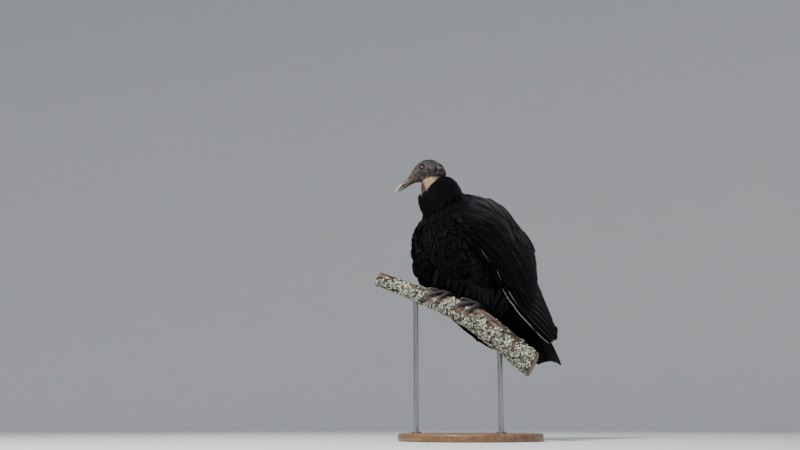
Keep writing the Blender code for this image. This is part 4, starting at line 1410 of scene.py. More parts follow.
def oak_material():
    m = Nodes("oak")
    obj = m.coord()
    g = m.scaled(obj, 1.0, 16.0, 16.0)
    grain = m.noise(g, 9.0, 6.0, 0.62, 0.5)
    pores = m.noise(m.scaled(obj, 1.0, 30.0, 30.0), 60.0, 2.0, 0.5)
    col = m.ramp(grain, [(0.30, (0.105, 0.052, 0.024)),
                         (0.50, (0.185, 0.100, 0.048)),
                         (0.70, (0.270, 0.155, 0.080))])
    col = m.mix(m.math("MULTIPLY", m.math("GREATER_THAN", pores, 0.60), 0.5),
                col, (0.060, 0.030, 0.014))
    m.set(base=col, rough=m.math("MULTIPLY_ADD", grain, 0.16, 0.34), spec=0.45,
          coat=0.15, coat_rough=0.25,
          normal=m.bump(m.math("SUBTRACT", grain, m.math(
              "MULTIPLY", m.math("GREATER_THAN", pores, 0.60), 0.25)),
              0.15, 0.0008))
    return m.mat


def steel_material():
    m = Nodes("steel")
    obj = m.coord()
    brush = m.noise(m.scaled(obj, 1.0, 1.0, 0.02), 2600.0, 2.0, 0.5)
    smear = m.noise(obj, 22.0, 3.0, 0.5)
    m.set(base=(0.40, 0.40, 0.41), metal=1.0,
          rough=m.math("MULTIPLY_ADD", brush, 0.16,
                       m.math("MULTIPLY_ADD", smear, 0.12, 0.16)),
          normal=m.bump(brush, 0.06, 0.0002))
    return m.mat


def felt_material():
    m = Nodes("studio_floor")
    n = m.noise(m.coord(), 6.0, 3.0, 0.5)
    m.set(base=m.mix(m.math("MULTIPLY", n, 0.10), (0.66, 0.67, 0.68),
                     (0.60, 0.61, 0.63)), rough=0.85, spec=0.1)
    return m.mat


# ------------------------------------------------------------ contour coat
def scatter(surf, spacing_of, seed):
    """Evenly spaced roots over the surface, nearer where feathers are
    small."""
    rng = np.random.default_rng(seed)
    a, b, c = (surf.co[surf.tri[:, i]] for i in range(3))
    area = 0.5 * np.linalg.norm(np.cross(b - a, c - a), axis=1)
    n = 30000
    pick = rng.choice(len(area), n, p=area / area.sum())
    r1, r2 = rng.random(n), rng.random(n)
    s = np.sqrt(r1)
    p = (a[pick] * (1 - s)[:, None] + b[pick] * (s * (1 - r2))[:, None]
         + c[pick] * (s * r2)[:, None])
    way, val, near = lie(p)
    gap, ok = spacing_of(p, way, val, near)
    p, way, gap = p[ok], way[ok], gap[ok]
    cell = 0.012
    grid, keep = {}, []
    for i in range(len(p)):
        key = tuple(np.floor(p[i] / cell).astype(int))
        good = True
        reach = int(math.ceil(gap[i] / cell))
        for dx in range(-reach, reach + 1):
            for dy in range(-reach, reach + 1):
                for dz in range(-reach, reach + 1):
                    for j in grid.get((key[0] + dx, key[1] + dy,
                                       key[2] + dz), ()):
                        q = p[j] - p[i]
                        if q @ q < (0.5 * (gap[i] + gap[j])) ** 2:
                            good = False
                            break
                    if not good:
                        break
                if not good:
                    break
            if not good:
                break
        if good:
            grid.setdefault(key, []).append(i)
            keep.append(i)
    return p[np.array(keep)]


def face_cowl(p):
    """How far a point lies behind the bare skin's edge on the neck (m)."""
    rel = p - HEAD_AT
    down, fwd, lat = -rel[:, 2], rel @ FACING, rel @ LEFTWARD
    turn = np.arctan2(np.abs(lat), fwd)
    edge = np.interp(np.degrees(turn), (0, 40, 80, 110, 140, 180),
                     (0.0625, 0.0655, 0.0590, 0.0360, 0.0150, 0.0080))
    return down - edge


def wing_trees():
    """The two wings' own surfaces, to tell their skin from the trunk's."""
    out = []
    for side in ("left", "right"):
        v, f = bspline_loft(wing_rings(side), 90, 60, 0.0)
        out.append(BVHTree.FromPolygons(np.asarray(v).tolist(),
                                        [tuple(map(int, q)) for q in f]))
    return out


def on_wing(p):
    """True where a point of the body's surface belongs to a wing behind
    its fore part, where the flight feathers and coverts lie."""
    trees = wing_trees()
    part = GUIDE_V[:, 4] > 0
    gp, gs = GUIDE_P[part], GUIDE_V[part][:, 4:6]
    out = np.zeros(len(p), bool)
    for i, q in enumerate(p):
        for tree in trees:
            hit = tree.find_nearest(q, 0.0045)
            if hit[0] is not None:
                k = ((gp - q) ** 2).sum(1).argmin()
                out[i] |= gs[k, 0] == 1 and gs[k, 1] > 2
    return out


def contour_coat(mat):
    def spacing(p, way, val, near):
        kind, station = GUIDE_V[near, 4], GUIDE_V[near, 5]
        gap = np.clip(val[:, 1] * 0.92, 0.0020, 0.0120)
        gap = np.minimum(gap, val[:, 0] * 0.30)
        gap = np.where((val[:, 1] < 0.0060) & (kind == 0), gap * 0.80, gap)
        ok = ~((kind == 1) & (station > 2)) & ~((kind == 2) & (station > 7))
        ok &= face_cowl(p) > -0.0055
        cand = np.nonzero(ok & (kind == 0))[0]
        ok[cand[on_wing(p[cand])]] = False
        return gap, ok

    roots = scatter(FULL, spacing, 11)
    way, val, near = lie(roots)
    kind = GUIDE_V[near, 4]
    n = len(roots)
    length = val[:, 0] * RNG.uniform(0.82, 1.20, n)
    half = val[:, 1] * RNG.uniform(0.85, 1.16, n)
    neckish = (val[:, 1] < 0.0060) & (kind == 0)
    print("contour feathers", n, "neck", int(neckish.sum()))
    left = roots[:, 0] > 0
    groups = {
        "cowl_left": neckish & left, "cowl_right": neckish & ~left,
        "back": (kind == 0) & ~neckish & (body_side(roots) > 0.0),
        "breast_left": (kind == 0) & ~neckish & (body_side(roots) <= 0) & left,
        "breast_right": (kind == 0) & ~neckish & (body_side(roots) <= 0)
        & ~left,
        "wing_fore_left": (kind > 0) & left,
        "wing_fore_right": (kind > 0) & ~left,
    }
    out = []
    for name, m in groups.items():
        idx = np.nonzero(m)[0]
        if not len(idx):
            continue
        k = len(idx)
        cowl = name.startswith("cowl")
        rows = 8 if cowl else 13
        turn = np.radians(RNG.normal(0, 6.0 if cowl else 9.0, k))
        C, N, D = lay(roots[idx], length[idx], rows, FULL, turn)
        if cowl:                      # none may stand up against the skin
            down = (C[:, -1, 2] < C[:, 0, 2] + 0.0005) \
                & (D[:, 0, 2] < 0.25) & (D[:, -1, 2] < 0.25)
            front = ((C[:, 0] - HEAD_AT) @ FACING > 0.008) \
                & (face_cowl(C[:, 0]) < 0.010)
            down &= ~front | (C[:, -1, 2] < C[:, 0, 2] - 0.0065)
            idx, C, N, D = idx[down], C[down], N[down], D[down]
            k = len(idx)
        else:                         # nor stray off the body at an edge
            tip, tn = FULL.snap(C[:, -1])
            near_by = np.linalg.norm(tip - C[:, -1], axis=1) < np.where(
                kind[idx] == 2, 0.0060, 0.0090)
            idx, C, N, D = idx[near_by], C[near_by], N[near_by], D[near_by]
            k = len(idx)
        if not cowl:                  # narrower where a side would stand up
            S = unit(np.cross(N, D))
            out_by = np.zeros(k)
            for sgn in (-0.85, 0.85):
                q = (C + S * (sgn * half[idx])[:, None, None])[:, 4::2]
                loc, nn = FULL.snap(q.reshape(-1, 3))
                off = ((q.reshape(-1, 3) - loc) * nn).sum(1)
                out_by = np.maximum(out_by, off.reshape(k, -1).max(1))
            half[idx] *= np.clip(0.0042 / np.maximum(out_by, 1e-5), 0.35, 1)
        t = np.linspace(0, 1, rows)[None, :]
        loose = val[idx, 2][:, None]
        low, high = (-0.0026, 0.0002) if cowl else (-0.0042, 0.0000)
        lift = low + (high - low) * t ** 0.8
        lift = lift + loose * RNG.uniform(-0.0006, 0.0012, (k, 1)) * t ** 2
        lift = lift + 0.0006 * np.sin(3.1 * t + RNG.uniform(0, 6, (k, 1))) \
            * t * (not cowl)
        cut = RNG.random((k, rows)) < 0.34
        splits = np.where(cut, RNG.uniform(-0.0030, 0.0012, (k, rows)), 0.0) \
            * (t > 0.4)
        ob = build_feathers(
            "coat_" + name, C, N, D, half[idx], half[idx],
            "plume" if cowl else "body", lift,
            np.clip(val[idx, 3] + RNG.normal(0, 0.20, k), 0, 1),
            spread_chart(body_chart(roots[idx])),
            cols=(-1, 0, 1) if cowl else (-1, -.66, -.33, 0, .33, .66, 1),
            thick=0.0003, camber=0.20 if cowl else 0.16,
            ragged=0.12 if cowl else 0.26, material=mat,
            splits=splits, roll=np.radians(RNG.normal(0, 6 if cowl else 8, k)))
        out.append(ob)
        fringe("fringe_" + name, C, N, D, half[idx], lift, t,
               spread_chart(body_chart(roots[idx])),
               np.clip(val[idx, 3] + RNG.normal(0, .2, k), 0, 1), mat,
               4 if cowl else 7, 0.55 if cowl else 1.0)
    return out


def fringe(name, C, N, D, half, lift, t, chart, tone, mat, count, scale):
    """Loose barbs that soften the outer part of every contour feather."""
    k, rows = C.shape[:2]
    kind = "plume" if scale < 1 else "body"
    S = unit(np.cross(N, D))
    w = outline(np.linspace(0, 1, rows), kind)
    who = np.repeat(np.arange(k), count)
    n = len(who)
    at = np.tile((np.arange(count) + 0.5) / count, k) * 0.52 + 0.46
    at = np.clip(at + RNG.uniform(-.03, .03, n), 0.40, 0.98)
    f = at * (rows - 1)
    i = np.minimum(f.astype(int), rows - 2)
    g = (f - i)[:, None]
    sgn = np.where(RNG.random(n) < 0.5, -1.0, 1.0)

    def pick(A):
        return A[who, i] * (1 - g) + A[who, i + 1] * g
    c, nn, dd, ss = pick(C), unit(pick(N)), unit(pick(D)), unit(pick(S))
    lf = (lift[who, i] * (1 - g[:, 0]) + lift[who, i + 1] * g[:, 0])
    ww = w[i] * (1 - g[:, 0]) + w[i + 1] * g[:, 0]
    off = sgn * RNG.uniform(0.25, 0.80, n) * half[who] * ww
    root = c + ss * off[:, None] + nn * (
        lf + 0.0003 - 0.16 * off ** 2 / half[who])[:, None]
    fan = np.radians(RNG.uniform(8, 34, n)) * (1.15 - at)[:] * 1.6 * sgn
    way = unit(dd * np.cos(fan)[:, None] + ss * np.sin(fan)[:, None])
    ln = RNG.uniform(0.0045, 0.0085, n) * scale
    u = np.linspace(0, 1, 4)[None, :, None]
    L = ln[:, None, None]
    path = (root[:, None, :] + way[:, None, :] * L * u
            + dd[:, None, :] * 0.22 * L * u ** 2
            - nn[:, None, :] * 0.06 * L * u ** 2)
    Nb = np.repeat(nn[:, None, :], 4, 1)
    Db = unit(np.gradient(path, axis=1))
    Nb = unit(Nb - Db * (Nb * Db).sum(2, keepdims=True))
    wide = RNG.uniform(0.00034, 0.00055, n) * (0.7 + 0.3 * scale)
    ob = build_feathers(name, path, Nb, Db, wide, wide, "plume",
                        np.zeros((n, 4)), tone[who], chart[who],
                        cols=(-1, 0, 1), thick=0.00022, camber=0.1,
                        ragged=0.0, material=mat)
    return ob


def skirt(mat):
    """Longer plumes of the flanks and belly that hang round the feet."""
    n = 640
    s = RNG.uniform(-0.080, 0.088, n)
    a = RNG.uniform(-1.15, 1.05, n)
    hint = perch_point(s, a * 0.5, 0.045)
    root, nrm = FULL.snap(hint)
    mid = np.array([0.0, 0.035, 0.0])
    flat = (root - mid) * np.array([1.0, 1.0, 0.0])
    outward = unit(flat + 0.02 * PERCH_FRONT * np.sign(a)[:, None])
    aim = perch_point(s + RNG.normal(0, .004, n), a * 0.42,
                      RNG.uniform(0.0045, 0.0120, n))
    gap = np.linalg.norm(aim - root, axis=1)
    ok = (gap > 0.010) & (gap < 0.060) & (root[:, 2] > aim[:, 2] + 0.006)
    root, outward, aim, gap = root[ok], outward[ok], aim[ok], gap[ok]
    k = len(root)
    root = root + UP * (0.006 + 0.034 * RNG.random(k) ** 1.5)[:, None] \
        - outward * RNG.uniform(0.0, 0.004, k)[:, None]
    aim = aim + UP * (RNG.random(k) ** 2 * 0.016)[:, None]
    rows = 14
    t = np.linspace(0, 1, rows)[None, :, None]
    bow = outward * (0.0050 + 0.06 * gap)[:, None]
    C = (root[:, None, :] * (1 - t) + aim[:, None, :] * t
         + bow[:, None, :] * 4 * t * (1 - t))
    D = unit(np.gradient(C, axis=1))
    N = unit(np.repeat(outward[:, None, :], rows, 1))
    N = unit(N - D * (N * D).sum(2, keepdims=True))
    half = RNG.uniform(0.0060, 0.0100, k)
    lift = np.zeros((k, rows)) - 0.001 + RNG.uniform(-.001, .001, (k, 1))
    tone = RNG.uniform(0.1, 0.6, k)
    tt = t[..., 0]
    cut = RNG.random((k, rows)) < 0.36
    chart = spread_chart(np.stack([np.arctan2(root[:, 0], root[:, 1]),
                                   root[:, 2] + RNG.uniform(-.01, .01, k)], 1))
    ob = build_feathers(
        "coat_skirt", C, N, D, half, half, "body", lift, tone, chart,
        cols=(-1, -.5, 0, .5, 1), thick=0.0003, camber=0.15, ragged=0.28,
        material=mat, roll=np.radians(RNG.normal(0, 12, k)),
        splits=np.where(cut, RNG.uniform(-.003, .001, (k, rows)), 0.0)
        * (tt > 0.4))
    fringe("fringe_skirt", C, N, D, half, lift, tt[0], chart, tone, mat, 7,
           1.0)
    print("skirt", k)
    return ob


def tail_coverts(mat):
    """Coverts over and under the root of the tail."""
    along = unit(TAIL_TIP - TAIL_BASE)
    long = np.linalg.norm(TAIL_TIP - TAIL_BASE)
    over = unit(np.array([0.0, 0.83, 0.56]))
    over = unit(over - along * (over @ along))
    across = np.array([1.0, 0, 0])
    rows = 13
    u = np.linspace(0, 1, rows)
    Cs, Ns = [], []
    for sgn in (1.0, -1.0):
        for r in range(5):
            for j in range(8):
                x = (j - 3.5 + .5 * (r % 2)) * .0080 + RNG.uniform(-.002, .002)
                ln = RNG.uniform(.052, .066)
                at = (-.20 + .095 * r + RNG.uniform(-.02, .02)) * long + ln * u
                deep = np.interp(at / long, (-.2, 0, .12, .26, .45),
                                 (.0185, .0185, .0150, .0098, .0035))
                deep = deep * (1 - .40 * min((x / .028) ** 2, 1.2)) \
                    + .0016 + .0003 * (5 - r)
                Cs.append(TAIL_BASE + along * at[:, None]
                          + across * (x * (1 + .5 * u))[:, None]
                          + over * (sgn * deep)[:, None])
                Ns.append(np.tile(unit(over * sgn + across * x * 9), (rows, 1)))
    C, N = np.array(Cs), np.array(Ns)
    D = unit(np.gradient(C, axis=1))
    N = unit(N - D * (N * D).sum(2, keepdims=True))
    k = len(C)
    half = RNG.uniform(.0095, .0125, k)
    lift = np.zeros((k, rows)) + RNG.uniform(-.0004, .0006, (k, 1))
    tone = RNG.uniform(.2, .6, k)
    chart = spread_chart(np.stack([C[:, 0, 0], C[:, 0, 1] * N[:, 0, 1]], 1))
    cut = RNG.random((k, rows)) < .3
    ob = build_feathers(
        "coat_tail_root", C, N, D, half, half, "body", lift, tone, chart,
        cols=(-1, -.66, -.33, 0, .33, .66, 1), thick=0.0003, camber=0.14,
        ragged=0.2, material=mat, roll=np.radians(RNG.normal(0, 6, k)),
        splits=np.where(cut, RNG.uniform(-.003, .001, (k, rows)), 0.0)
        * (u[None, :] > 0.4))
    fringe("fringe_tail_root", C, N, D, half, lift, u, chart, tone, mat, 7,
           1.0)
    return ob


def body_side(p):
    """Above 0 on the back, below on the breast and belly."""
    a = np.array([0.0, -0.045, 0.235])
    b = np.array([0.0, 0.19, 0.02])
    ax = unit(b - a)
    up = unit(np.cross(ax, np.array([1.0, 0, 0])))
    if up[2] < 0:
        up = -up
    return (p - a) @ up


# ------------------------------------------------------------ flight feathers
def wing_path(side, su, t, reach=0.012):
    """Centre lines from control points in (station, u) space."""
    su = np.asarray(su, float)                     # (k, m, 2)
    rows = len(t)
    q = np.stack([catmull(s, t * (su.shape[1] - 1)) for s in su])
    p, out = wing_point(side, q[..., 0], q[..., 1])
    k = len(su)
    flat = p.reshape(-1, 3)
    loc, nrm = FULL.snap(flat)
    off = np.linalg.norm(loc - flat, axis=1, keepdims=True)
    agree = (nrm * out.reshape(-1, 3)).sum(1, keepdims=True)
    use = (off < reach) & (agree > 0.3)
    flat = np.where(use, loc, flat)
    nn = np.where(use, unit(nrm * 0.5 + out.reshape(-1, 3) * 0.5),
                  out.reshape(-1, 3))
    C = flat.reshape(k, rows, 3)
    for _ in range(3):
        C[:, 1:-1] = 0.25 * C[:, :-2] + 0.5 * C[:, 1:-1] + 0.25 * C[:, 2:]
    D = np.gradient(C, axis=1)
    D = unit(D)
    N = nn.reshape(k, rows, 3)
    N = unit(N - D * (N * D).sum(2, keepdims=True))
    return C, N, D


def flight_coat(side, mat_vane):
    """Primaries, secondaries, tertials, coverts and scapulars of one wing,
    as paths over the wing's outer face in (station, u)."""
    out = []

    def make(name, su, rows, outer, inner, kind, level, tone, rise=0.0,
             rib=0.0005, camber=0.08, cols=None, ragged=0.02, sink=0.0,
             fray=0.10, roll=None, reach=0.012):
        su = np.asarray(su, float)
        t = dense(rows)
        C, N, D = wing_path(side, su, t, reach)
        k = len(su)
        tt = t[None, :]
        lift = np.asarray(level, float)[:, None] \
            + np.asarray(rise, float).reshape(-1, 1) * tt ** 1.5 \
            - sink * smooth(tt, 0.40, 0.0)
        o, i = np.asarray(outer, float), np.asarray(inner, float)
        if side == "right":               # S = N x D points down the wing
            o, i = i, o
        ob = build_feathers(
            name + "_" + side, C, N, D, o, i, kind, lift, np.asarray(tone),
            spread_chart(su[:, 0, ::-1] + RNG.uniform(-.01, .01, (k, 2))),
            cols=cols or (-1, -.72, -.4, -.12, 0, .12, .4, .72, 1),
            thick=0.0005, camber=camber, ragged=ragged, material=mat_vane,
            rib=rib, splits=np.where(RNG.random((k, rows)) < fray,
                                     RNG.uniform(-.0020, .0008, (k, rows)),
                                     0.0) * (tt > .3), t=t, roll=roll)
        out.append(ob)
        return C, N, D, lift

    # ten primaries; the outermost lies lowest and along the lower edge
    tips = ((9.95, .835), (10.40, .70), (10.80, .55), (11.06, .38),
            (11.15, .22), (10.95, .12), (10.5, .08), (10.0, .08),
            (9.5, .08), (9.0, .08))
    f = np.array((0, .22, .43, .62, .78, .92, 1.0))
    edge = np.array((.93, .960, .952, .922, .893, .865, .835))
    w = smooth(f, .40, 1.0)
    su = [np.stack([2.4 + (ts - 2.4) * f,
                    edge - .045 * j * (1 - w) - (.835 - tu) * w], 1)
          for j, (ts, tu) in enumerate(tips)]
    lv = [-0.0032 + 0.00040 * j for j in range(10)]
    ow = (.0050, .0056, .0066, .0080, .0090, .0098, .010, .010, .010, .010)
    iw = (.0185, .0195, .0205, .0215, .0220, .0220, .022, .022, .022, .022)
    C, N, D, lift = make("primary_vanes", su, 44, ow, iw, "primary", lv,
                         RNG.uniform(.10, .40, 10), rib=0.0, ragged=0.008,
                         fray=0.06)
    for j in range(7):
        path = C[j, 3:43] + N[j, 3:43] * (lift[j, 3:43, None] + 0.00050)
        t = np.linspace(0, 1, len(path))
        shafts_and_glints.append((path, (0.00100 if j == 0 else 0.00085)
                       * (1 - 0.70 * t) + 0.0001, side, j))
    # secondaries, each inner one over the one outside it
    m = 13
    g = np.arange(m) / (m - 1)
    su = [[(2.6, .79 - .62 * q), (4.6, .85 - .69 * q), (6.0, .865 - .73 * q),
           (6.60 + .80 * q + .10 * (k % 2), .850 - .800 * q)]
          for k, q in enumerate(g)]
    make("secondaries", su, 32, np.full(m, .0120), .0215 - .0080 * (g > .93),
         "flight", -0.0004 + 0.00020 * np.arange(m), RNG.uniform(.2, .5, m),
         fray=0.14)
    # tertials: the broad innermost feathers over the fold
    g = np.arange(5) / 4.0
    su = [[(2.5, .44 - .29 * q), (4.0, .36 - .27 * q), (5.6, .29 - .23 * q),
           (7.30 - .40 * q, .235 - .195 * q)] for q in g]
    make("tertials", su, 30, np.full(5, .0180), .0200 - .0070 * g, "flight",
         .0022 + .0003 * np.arange(5), RNG.uniform(.3, .6, 5), sink=.003)
    # rows of coverts, each over the roots of the row behind it
    su, lv, ln, up = [], [], [], []
    for row, (s0, s1, count, u0, u1, width) in enumerate((
            (2.85, 4.95, 15, .925, .11, .0140), (2.10, 3.80, 16, .95, .09, .0125),
            (1.62, 3.00, 16, .965, .07, .0112), (1.22, 2.48, 15, .975, .06, .0098),
            (.86, 1.98, 14, .98, .05, .0082), (.55, 1.52, 11, .97, .05, .0068))):
        for j in range(count):
            q = (j + .5 * (row % 2)) / (count - .5)
            u = u0 + (u1 - u0) * q
            js = RNG.uniform(-.10, .10)
            bend = 0.22 * math.sin(math.pi * q)
            end = s1 - 0.9 * float(smooth(u, .78, .95)) * (row == 0) \
                - 0.3 * float(smooth(u, .80, .96)) * (row == 1)
            end += RNG.uniform(-.10, .08)
            su.append([(s0 - bend + js, u), (0.5 * (s0 + end) - bend + js,
                                             u + .006),
                       (end - bend + js, u + .010
                        + RNG.uniform(-.014, .014))])
            lv.append((0.0006, 0.0012, 0.0016, .0018, .0018, .0016)[row]
                      + RNG.uniform(-.0002, .0002))
            wd = width * RNG.uniform(.90, 1.12)
            broad = float(np.interp(.5 * (s0 + end), (0, 1, 2, 3, 4, 5),
                                    (.034, .096, .157, .210, .240, .243)))
            ln.append(min(wd * .94, .0030 + broad * max(.995 - u, 0)))
            up.append(min(wd, .005 + .17 * max(u, 0)))
    k = len(su)
    make("coverts", su, 18, np.array(ln), up, "covert", lv,
         RNG.uniform(.2, .75, k), rise=RNG.uniform(-.0010, .0010, k),
         rib=0.0002, camber=0.09, sink=0.0045,
         cols=(-1, -.66, -.33, 0, .33, .66, 1), ragged=0.07, fray=.2,
         roll=np.radians(RNG.normal(0, 3.0, k)))
    # scapulars fall over the upper part of the wing, some of them askew
    su, lv, ln, up = [], [], [], []
    for row, (u0, count) in enumerate(((.22, 8), (.15, 9), (.09, 9),
                                       (.045, 8))):
        for j in range(count):
            s0 = .80 + 3.3 * (j + .35 * (row % 2)) / count \
                + RNG.uniform(-.12, .12)
            u = u0 + RNG.uniform(-.025, .025)
            ls = RNG.uniform(1.10, 1.70)
            du = RNG.uniform(.10, .24)
            su.append([(s0, u), (s0 + ls * .5, u + du * .42),
                       (s0 + ls, u + du)])
            lv.append(.0020 + .0005 * row + .00006 * j)
            ln.append(RNG.uniform(.0135, .0180))
            up.append(min(ln[-1] * .92, .0025 + .19 * max(u - .01, 0)))
    k = len(su)
    make("scapulars", su, 22, ln, up, "covert", lv,
         RNG.uniform(.45, 1.0, k), rise=RNG.uniform(-.0010, .0020, k),
         rib=0.0003, camber=0.16, sink=0.0060,
         cols=(-1, -.75, -.5, -.25, 0, .25, .5, .75, 1), ragged=0.10,
         fray=.30, roll=np.radians(RNG.normal(0, 5.0, k)), reach=0.040)
    # a few pale dashes along the wing's edge, shaped as bare shafts of the primary
    # coverts and standing for painted glints on the feather edges there
    for pts in ([(2.05, .940), (2.38, .965), (2.70, .975)],
                [(3.25, .935), (3.50, .945), (3.75, .952)]):
        C, N, D = wing_path(side, [pts], np.linspace(0, 1, 16))
        shafts_and_glints.append((C[0] + N[0] * 0.0044, 0.00065 * (
            1 - 0.7 * np.linspace(0, 1, 16)), side, 20))
    return out


shafts_and_glints = []


def tail_coat(mat):
    """Twelve tail feathers, the middle pair on top."""
    along = unit(TAIL_TIP - TAIL_BASE)
    rows = 34
    Cs, Ns, Ds, lv, ow = [], [], [], [], []
    order = []
    for i in range(6):
        for sgn in (1, -1):
            order.append((i, sgn))
    for i, sgn in order:
        pos = (i + 0.5) / 6.0 * 0.86
        C, N, D = [], [], []
        for t in dense(rows):
            tt = -0.12 + (1.12, 1.122, 1.125, 1.130, 1.135, 1.145)[i] * t
            roll = math.radians(TAIL_TWIST * max(tt, 0))
            side = np.array([math.cos(roll), 0, -math.sin(roll)])
            side = unit(side - along * (side @ along))
            up = unit(np.cross(side, along))
            if up[1] < 0:
                up = -up
            width = np.interp(tt, (-.12, 0, .2, .4, .6, .8, 1),
                              (.22, .30, .48, .68, .86, 1.0, 1.02))
            x = sgn * pos * width * TAIL_HALF_WIDTH * 0.94
            arch = 0.16 * TAIL_HALF_WIDTH * width * (x / (
                TAIL_HALF_WIDTH * max(width, .1))) ** 2
            mid = TAIL_BASE + (TAIL_TIP - TAIL_BASE) * tt
            C.append(mid + side * x + up * (-arch))
            n = unit(up + side * (0.32 * x / TAIL_HALF_WIDTH))
            N.append(n)
        C = np.array(C)
        Cs.append(C)
        D = unit(np.gradient(C, axis=0))
        N = np.array(N)
        N = unit(N - D * (N * D).sum(1, keepdims=True))
        Ns.append(N)
        Ds.append(D)
        lv.append(0.0016 - 0.00055 * i + (0.0002 if sgn > 0 else 0))
        ow.append(sgn)
    C, N, D = np.array(Cs), np.array(Ns), np.array(Ds)
    sgn = np.array(ow)
    wide = np.full(12, .0155)
    # narrow vane outward
    S = unit(np.cross(N, D))
    outward = np.sign((S[:, 10] * np.array([1, 0, 0])).sum(1)) * sgn
    left = np.where(outward > 0, wide, wide * .72)    # cols < 0 side
    right = np.where(outward > 0, wide * .72, wide)
    lift = np.repeat(np.array(lv)[:, None], rows, 1)
    ob = build_feathers(
        "rectrices", C, N, D, left, right, "flight", lift,
        RNG.uniform(.3, .6, 12), spread_chart(C[:, 0, ::2] + 0),
        cols=(-1, -.7, -.4, -.12, 0, .12, .4, .7, 1), thick=0.0005,
        camber=0.05, ragged=0.01, material=mat, rib=0.0006, t=dense(rows),
        splits=np.where(RNG.random((12, rows)) < .1,
                        RNG.uniform(-.002, .0, (12, rows)), 0.0))
    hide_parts("tail")
    return ob


# ------------------------------------------------------------ bill and claws
def along_attribute(me, value):
    at = me.attributes.new("along", "FLOAT", "POINT")
    at.data.foreach_set("value", np.asarray(value, np.float32))


def clip_at(ob, x, way):
    bm = bmesh.new()
    bm.from_mesh(ob.data)
    bmesh.ops.bisect_plane(bm, geom=bm.verts[:] + bm.edges[:] + bm.faces[:],
                           plane_co=Vector(head_point(x, 0, 0)),
                           plane_no=Vector(BILLWARD * way), clear_outer=True)
    bmesh.ops.holes_fill(bm, edges=[e for e in bm.edges if e.is_boundary],
                         sides=0)
    bm.to_mesh(ob.data)
    bm.free()


def bill(material, under):
    upper = ((0.0660, -0.0012, -0.0118, 0.0069, 0.0),
             (0.0760, -0.0046, -0.0137, 0.0058, 0.1),
             (0.0850, -0.0084, -0.0160, 0.0049, 0.35),
             (0.0908, -0.0126, -0.0195, 0.0038, 0.85),
             (0.0935, -0.0170, -0.0222, 0.0026, 1.6),
             (0.0940, -0.0205, -0.0240, 0.0014, 2.6))
    lower = ((0.0660, -0.0130, -0.0186, 0.0056), (0.0760, -0.0143, -0.0194, .0046),
             (0.0820, -0.0156, -0.0200, 0.0038), (0.0870, -0.0176, -.0208, .0026))
    out = []
    for name, st, cap in (("bill_upper_horn", upper, .25),
                          ("bill_lower_horn", lower, .35)):
        rings = [head_ring(s[0], s[1], s[2], s[3], count=12, square=2.0,
                           lean=s[4] if len(s) > 4 else 0.0) for s in st]
        v, f = fine_loft(rings, 70, 56, cap)
        ob = mesh_object(name, v, f)
        me = ob.data
        p = coords(me)
        n = normals(me)
        x, y, z = head_coords(p)
        h = 0.00010 * noise(p, 0.0016, 31, 2)
        if name == "bill_upper_horn":
            # keel along the top, cutting edge below, a faint groove above it
            h += 0.00035 * np.exp(-(y / 0.0012) ** 2) * (n @ CROWNWARD > 0)
            mid = np.interp(x, (.066, .076, .085, .0908), (-.0100, -.0120,
                                                           -.0142, -.0172))
            h -= 0.00022 * np.exp(-((z - mid) / 0.0006) ** 2) \
                * smooth(x, .092, .086)
        set_coords(me, p + n * h[:, None])
        clip_at(ob, 0.0701, -1.0)
        x = head_coords(coords(ob.data))[0]
        along_attribute(ob.data, smooth(x, 0.069, 0.094))
        ob.data.polygons.foreach_set("use_smooth",
                                     [True] * len(ob.data.polygons))
        # the lower mandible takes the darker horn: painted shade under the bill
        ob.data.materials.append(material if "upper" in name else under)
        bird(ob)
        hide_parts("bill_upper" if "upper" in name else "bill_lower")
        out.append(ob)
    return out


def claws(material):
    tubes, names = [], []
    for side in ("left", "right"):
        for digit, (_, reach, ln) in TOES.items():
            d = np.linspace(0, 1, 26)
            height = np.interp(d, (0, .25, .5, .8, 1.0),
                               (.0048, .0062, .0062, .0036, .0016))
            path = toe_points(side, digit, reach - 0.0012
                              + (ln + 0.0012) * 0.96 * d, height)
            rad = 0.0028 * (1 - d) ** 0.62 + 0.00035
            tubes.append(loft(tube_rings(path, rad, 14, PERCH_UP, 0.86), .15))
            names.append("claw_%s_%s" % (side, digit))
    ob = join_meshes("claws", tubes)
    ob.data.polygons.foreach_set("use_smooth", [True] * len(ob.data.polygons))
    ob.data.materials.append(material)
    bird(ob)
    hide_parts(*names)
    return ob


def eyes(material):
    for side, sgn in (("left", 1.0), ("right", -1.0)):
        c = head_point(EYE_AT[0], sgn * EYE_AT[1], EYE_AT[2])
        look = unit(LEFTWARD * sgn + BILLWARD * 0.16)
        a = unit(np.cross(look, UP))
        b = np.cross(a, look)
        rings = []
        for t in np.linspace(0.03, math.pi - 0.03, 34):
            # the cornea swells a little in front of the ball
            r = EYE_RADIUS - 0.0002 + 0.00045 * math.exp(-(t / 0.42) ** 2)
            phi = 2 * np.pi * np.arange(48) / 48
            rings.append(c + look * (r * math.cos(t))
                         + (a * np.cos(phi)[:, None] + b * np.sin(phi)[:, None])
                         * (r * math.sin(t)))
        v, f = loft(np.array(rings), 0.02)
        ob = mesh_object("eyeball_" + side, v, f, material)
        d = unit(v - c)
        ang = np.arccos(np.clip(d @ look, -1, 1))
        at = ob.data.attributes.new("ring", "FLOAT", "POINT")
        at.data.foreach_set("value", np.clip(ang / 1.0, 0, 1).astype(np.float32))
        bird(ob)
        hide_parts("eye_" + side)


